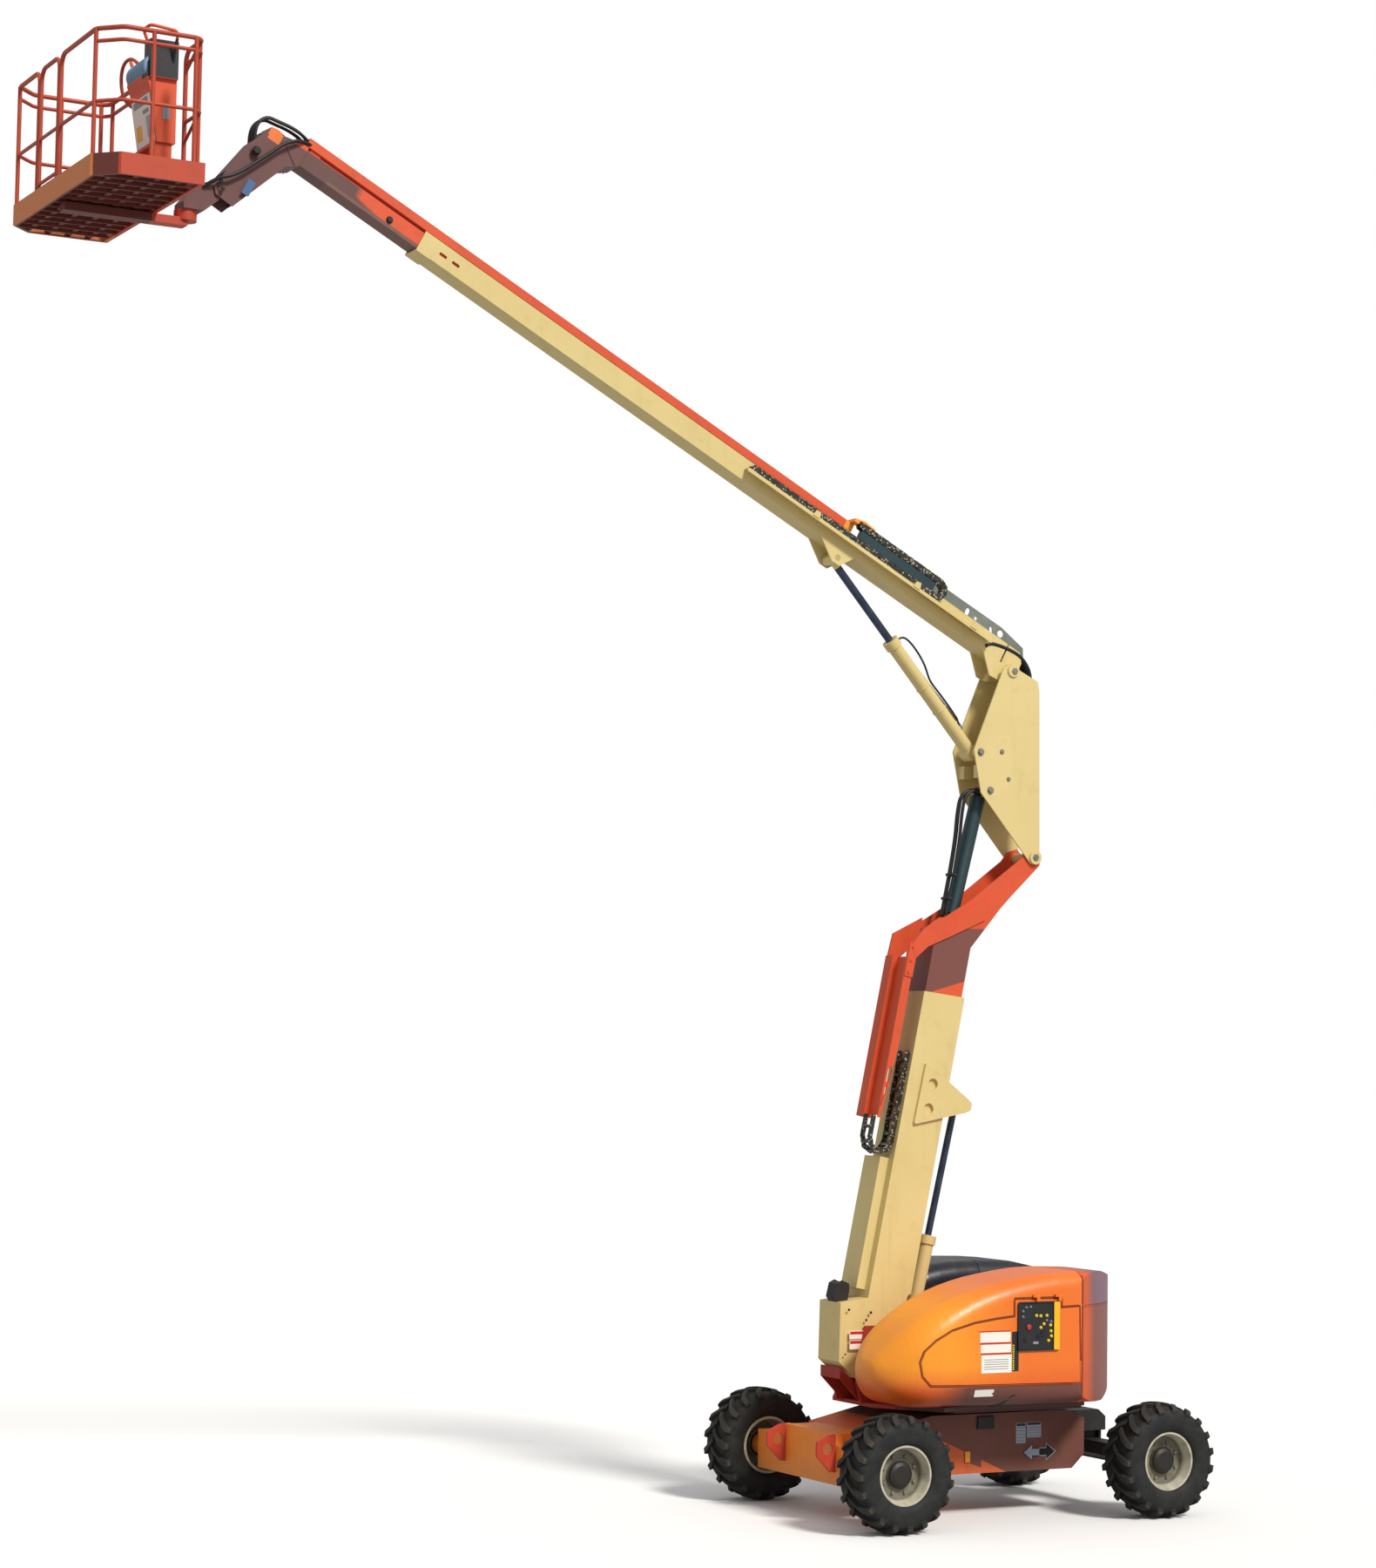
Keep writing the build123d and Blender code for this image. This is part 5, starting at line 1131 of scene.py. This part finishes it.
def shell_of(name):
    """Search tree of a CAD node's mesh at rest."""
    mesh = nodes[name].data
    return BVHTree.FromPolygons([v.co for v in mesh.vertices], [p.vertices for p in mesh.polygons])


DOOR_SEAM = (
    (0.424, 1.100), (0.405, 1.702), (0.228, 1.696), (0.228, 1.772), (-0.212, 1.772), (-0.212, 1.636),
    (-0.381, 1.620),
    (-0.583, 1.592), (-0.784, 1.538), (-0.919, 1.463), (-1.012, 1.379), (-1.042, 1.300), (-1.024, 1.190),
    (-0.960, 1.118),
)


def pod_seams(form):
    seam_strip(form, shell_of("cowl_right"), DOOR_SEAM, 0.011, True)


def tail_seams(form):
    shell = shell_of("counterweight_right")
    seam_strip(form, shell, ((0.446, 1.688), (1.130, 1.688)), -0.012, False, 60)
    seam_strip(form, shell, ((0.441, 1.940), (0.441, 0.960)), -0.011, False, 80)


# Painted shade: dark strips along the door gap and the tail grooves.
piece("pod_seams", pod_seams, (seam_red,), "turntable", False)
piece("tail_seams", tail_seams, (seam_red,), "turntable", False)


# ---------------------------------------------------------------- floor, light and camera
def make_floor():
    mesh = bpy.data.meshes.new("floor")
    reach = 60.0
    mesh.from_pydata([(-reach, -reach, 0), (reach, -reach, 0), (reach, reach, 0), (-reach, reach, 0)], [],
                     [(0, 1, 2, 3)])
    floor = bpy.data.objects.new("floor", mesh)
    bpy.context.collection.objects.link(floor)
    material = bpy.data.materials.new("floor")
    material.use_nodes = True
    tree = material.node_tree
    shader = tree.nodes["Principled BSDF"]
    seen = tree.nodes.new("ShaderNodeLightPath").outputs["Is Camera Ray"]
    base = mix(tree, seen, (0.42, 0.42, 0.42, 1.0), (0.95, 0.95, 0.95, 1.0))
    tree.links.new(base, shader.inputs["Base Color"])
    shader.inputs["Roughness"].default_value = 0.9
    mesh.materials.append(material)
    return floor


make_floor()

world = bpy.data.worlds.new("studio")
bpy.context.scene.world = world
world.use_nodes = True
tree = world.node_tree
background = tree.nodes["Background"]
background.inputs["Color"].default_value = (1.0, 1.0, 1.0, 1)
background.inputs["Strength"].default_value = 0.50
seen = tree.nodes.new("ShaderNodeBackground")
seen.inputs["Color"].default_value = (1.0, 1.0, 1.0, 1.0)
seen.inputs["Strength"].default_value = 1.0
path = tree.nodes.new("ShaderNodeLightPath")
blend = tree.nodes.new("ShaderNodeMixShader")
either = add(tree, "ShaderNodeMath", operation="MAXIMUM")
tree.links.new(path.outputs["Is Camera Ray"], either.inputs[0])
tree.links.new(path.outputs["Is Transmission Ray"], either.inputs[1])
tree.links.new(either.outputs[0], blend.inputs["Fac"])
tree.links.new(background.outputs[0], blend.inputs[1])
tree.links.new(seen.outputs[0], blend.inputs[2])
tree.links.new(blend.outputs[0], tree.nodes["World Output"].inputs["Surface"])

sun_data = bpy.data.lights.new("sun", "SUN")
sun_data.energy = 2.9
sun_data.angle = math.radians(12)
sun_data.color = (1.0, 0.97, 0.92)
sun = bpy.data.objects.new("sun", sun_data)
bpy.context.collection.objects.link(sun)
toward_sun = Vector((0.20, -0.80, 0.80)).normalized()
sun.rotation_euler = toward_sun.to_track_quat("Z", "Y").to_euler()


def make_camera():
    """Camera at the photograph's height and angle, from its yaw, pitch and roll."""
    yaw, pitch, roll = math.radians(28.36), math.radians(4.14), math.radians(0.91)
    forward = Vector((math.sin(yaw) * math.cos(pitch), math.cos(yaw) * math.cos(pitch), math.sin(pitch)))
    right = Vector((math.cos(yaw), -math.sin(yaw), 0.0))
    up = right.cross(forward)
    right, up = (
        right * math.cos(roll) + up * math.sin(roll),
        up * math.cos(roll) - right * math.sin(roll),
    )
    data = bpy.data.cameras.new("camera")
    data.lens = 78.55
    data.sensor_width = 36.0
    data.sensor_fit = "AUTO"
    data.clip_end = 200.0
    camera = bpy.data.objects.new("camera", data)
    bpy.context.collection.objects.link(camera)
    turn = Matrix((
        (right.x, up.x, -forward.x),
        (right.y, up.y, -forward.y),
        (right.z, up.z, -forward.z),
    )).to_4x4()
    camera.matrix_world = Matrix.Translation((-15.376, -23.706, 3.823)) @ turn
    bpy.context.scene.camera = camera


make_camera()
bpy.context.scene.view_settings.view_transform = "Standard"
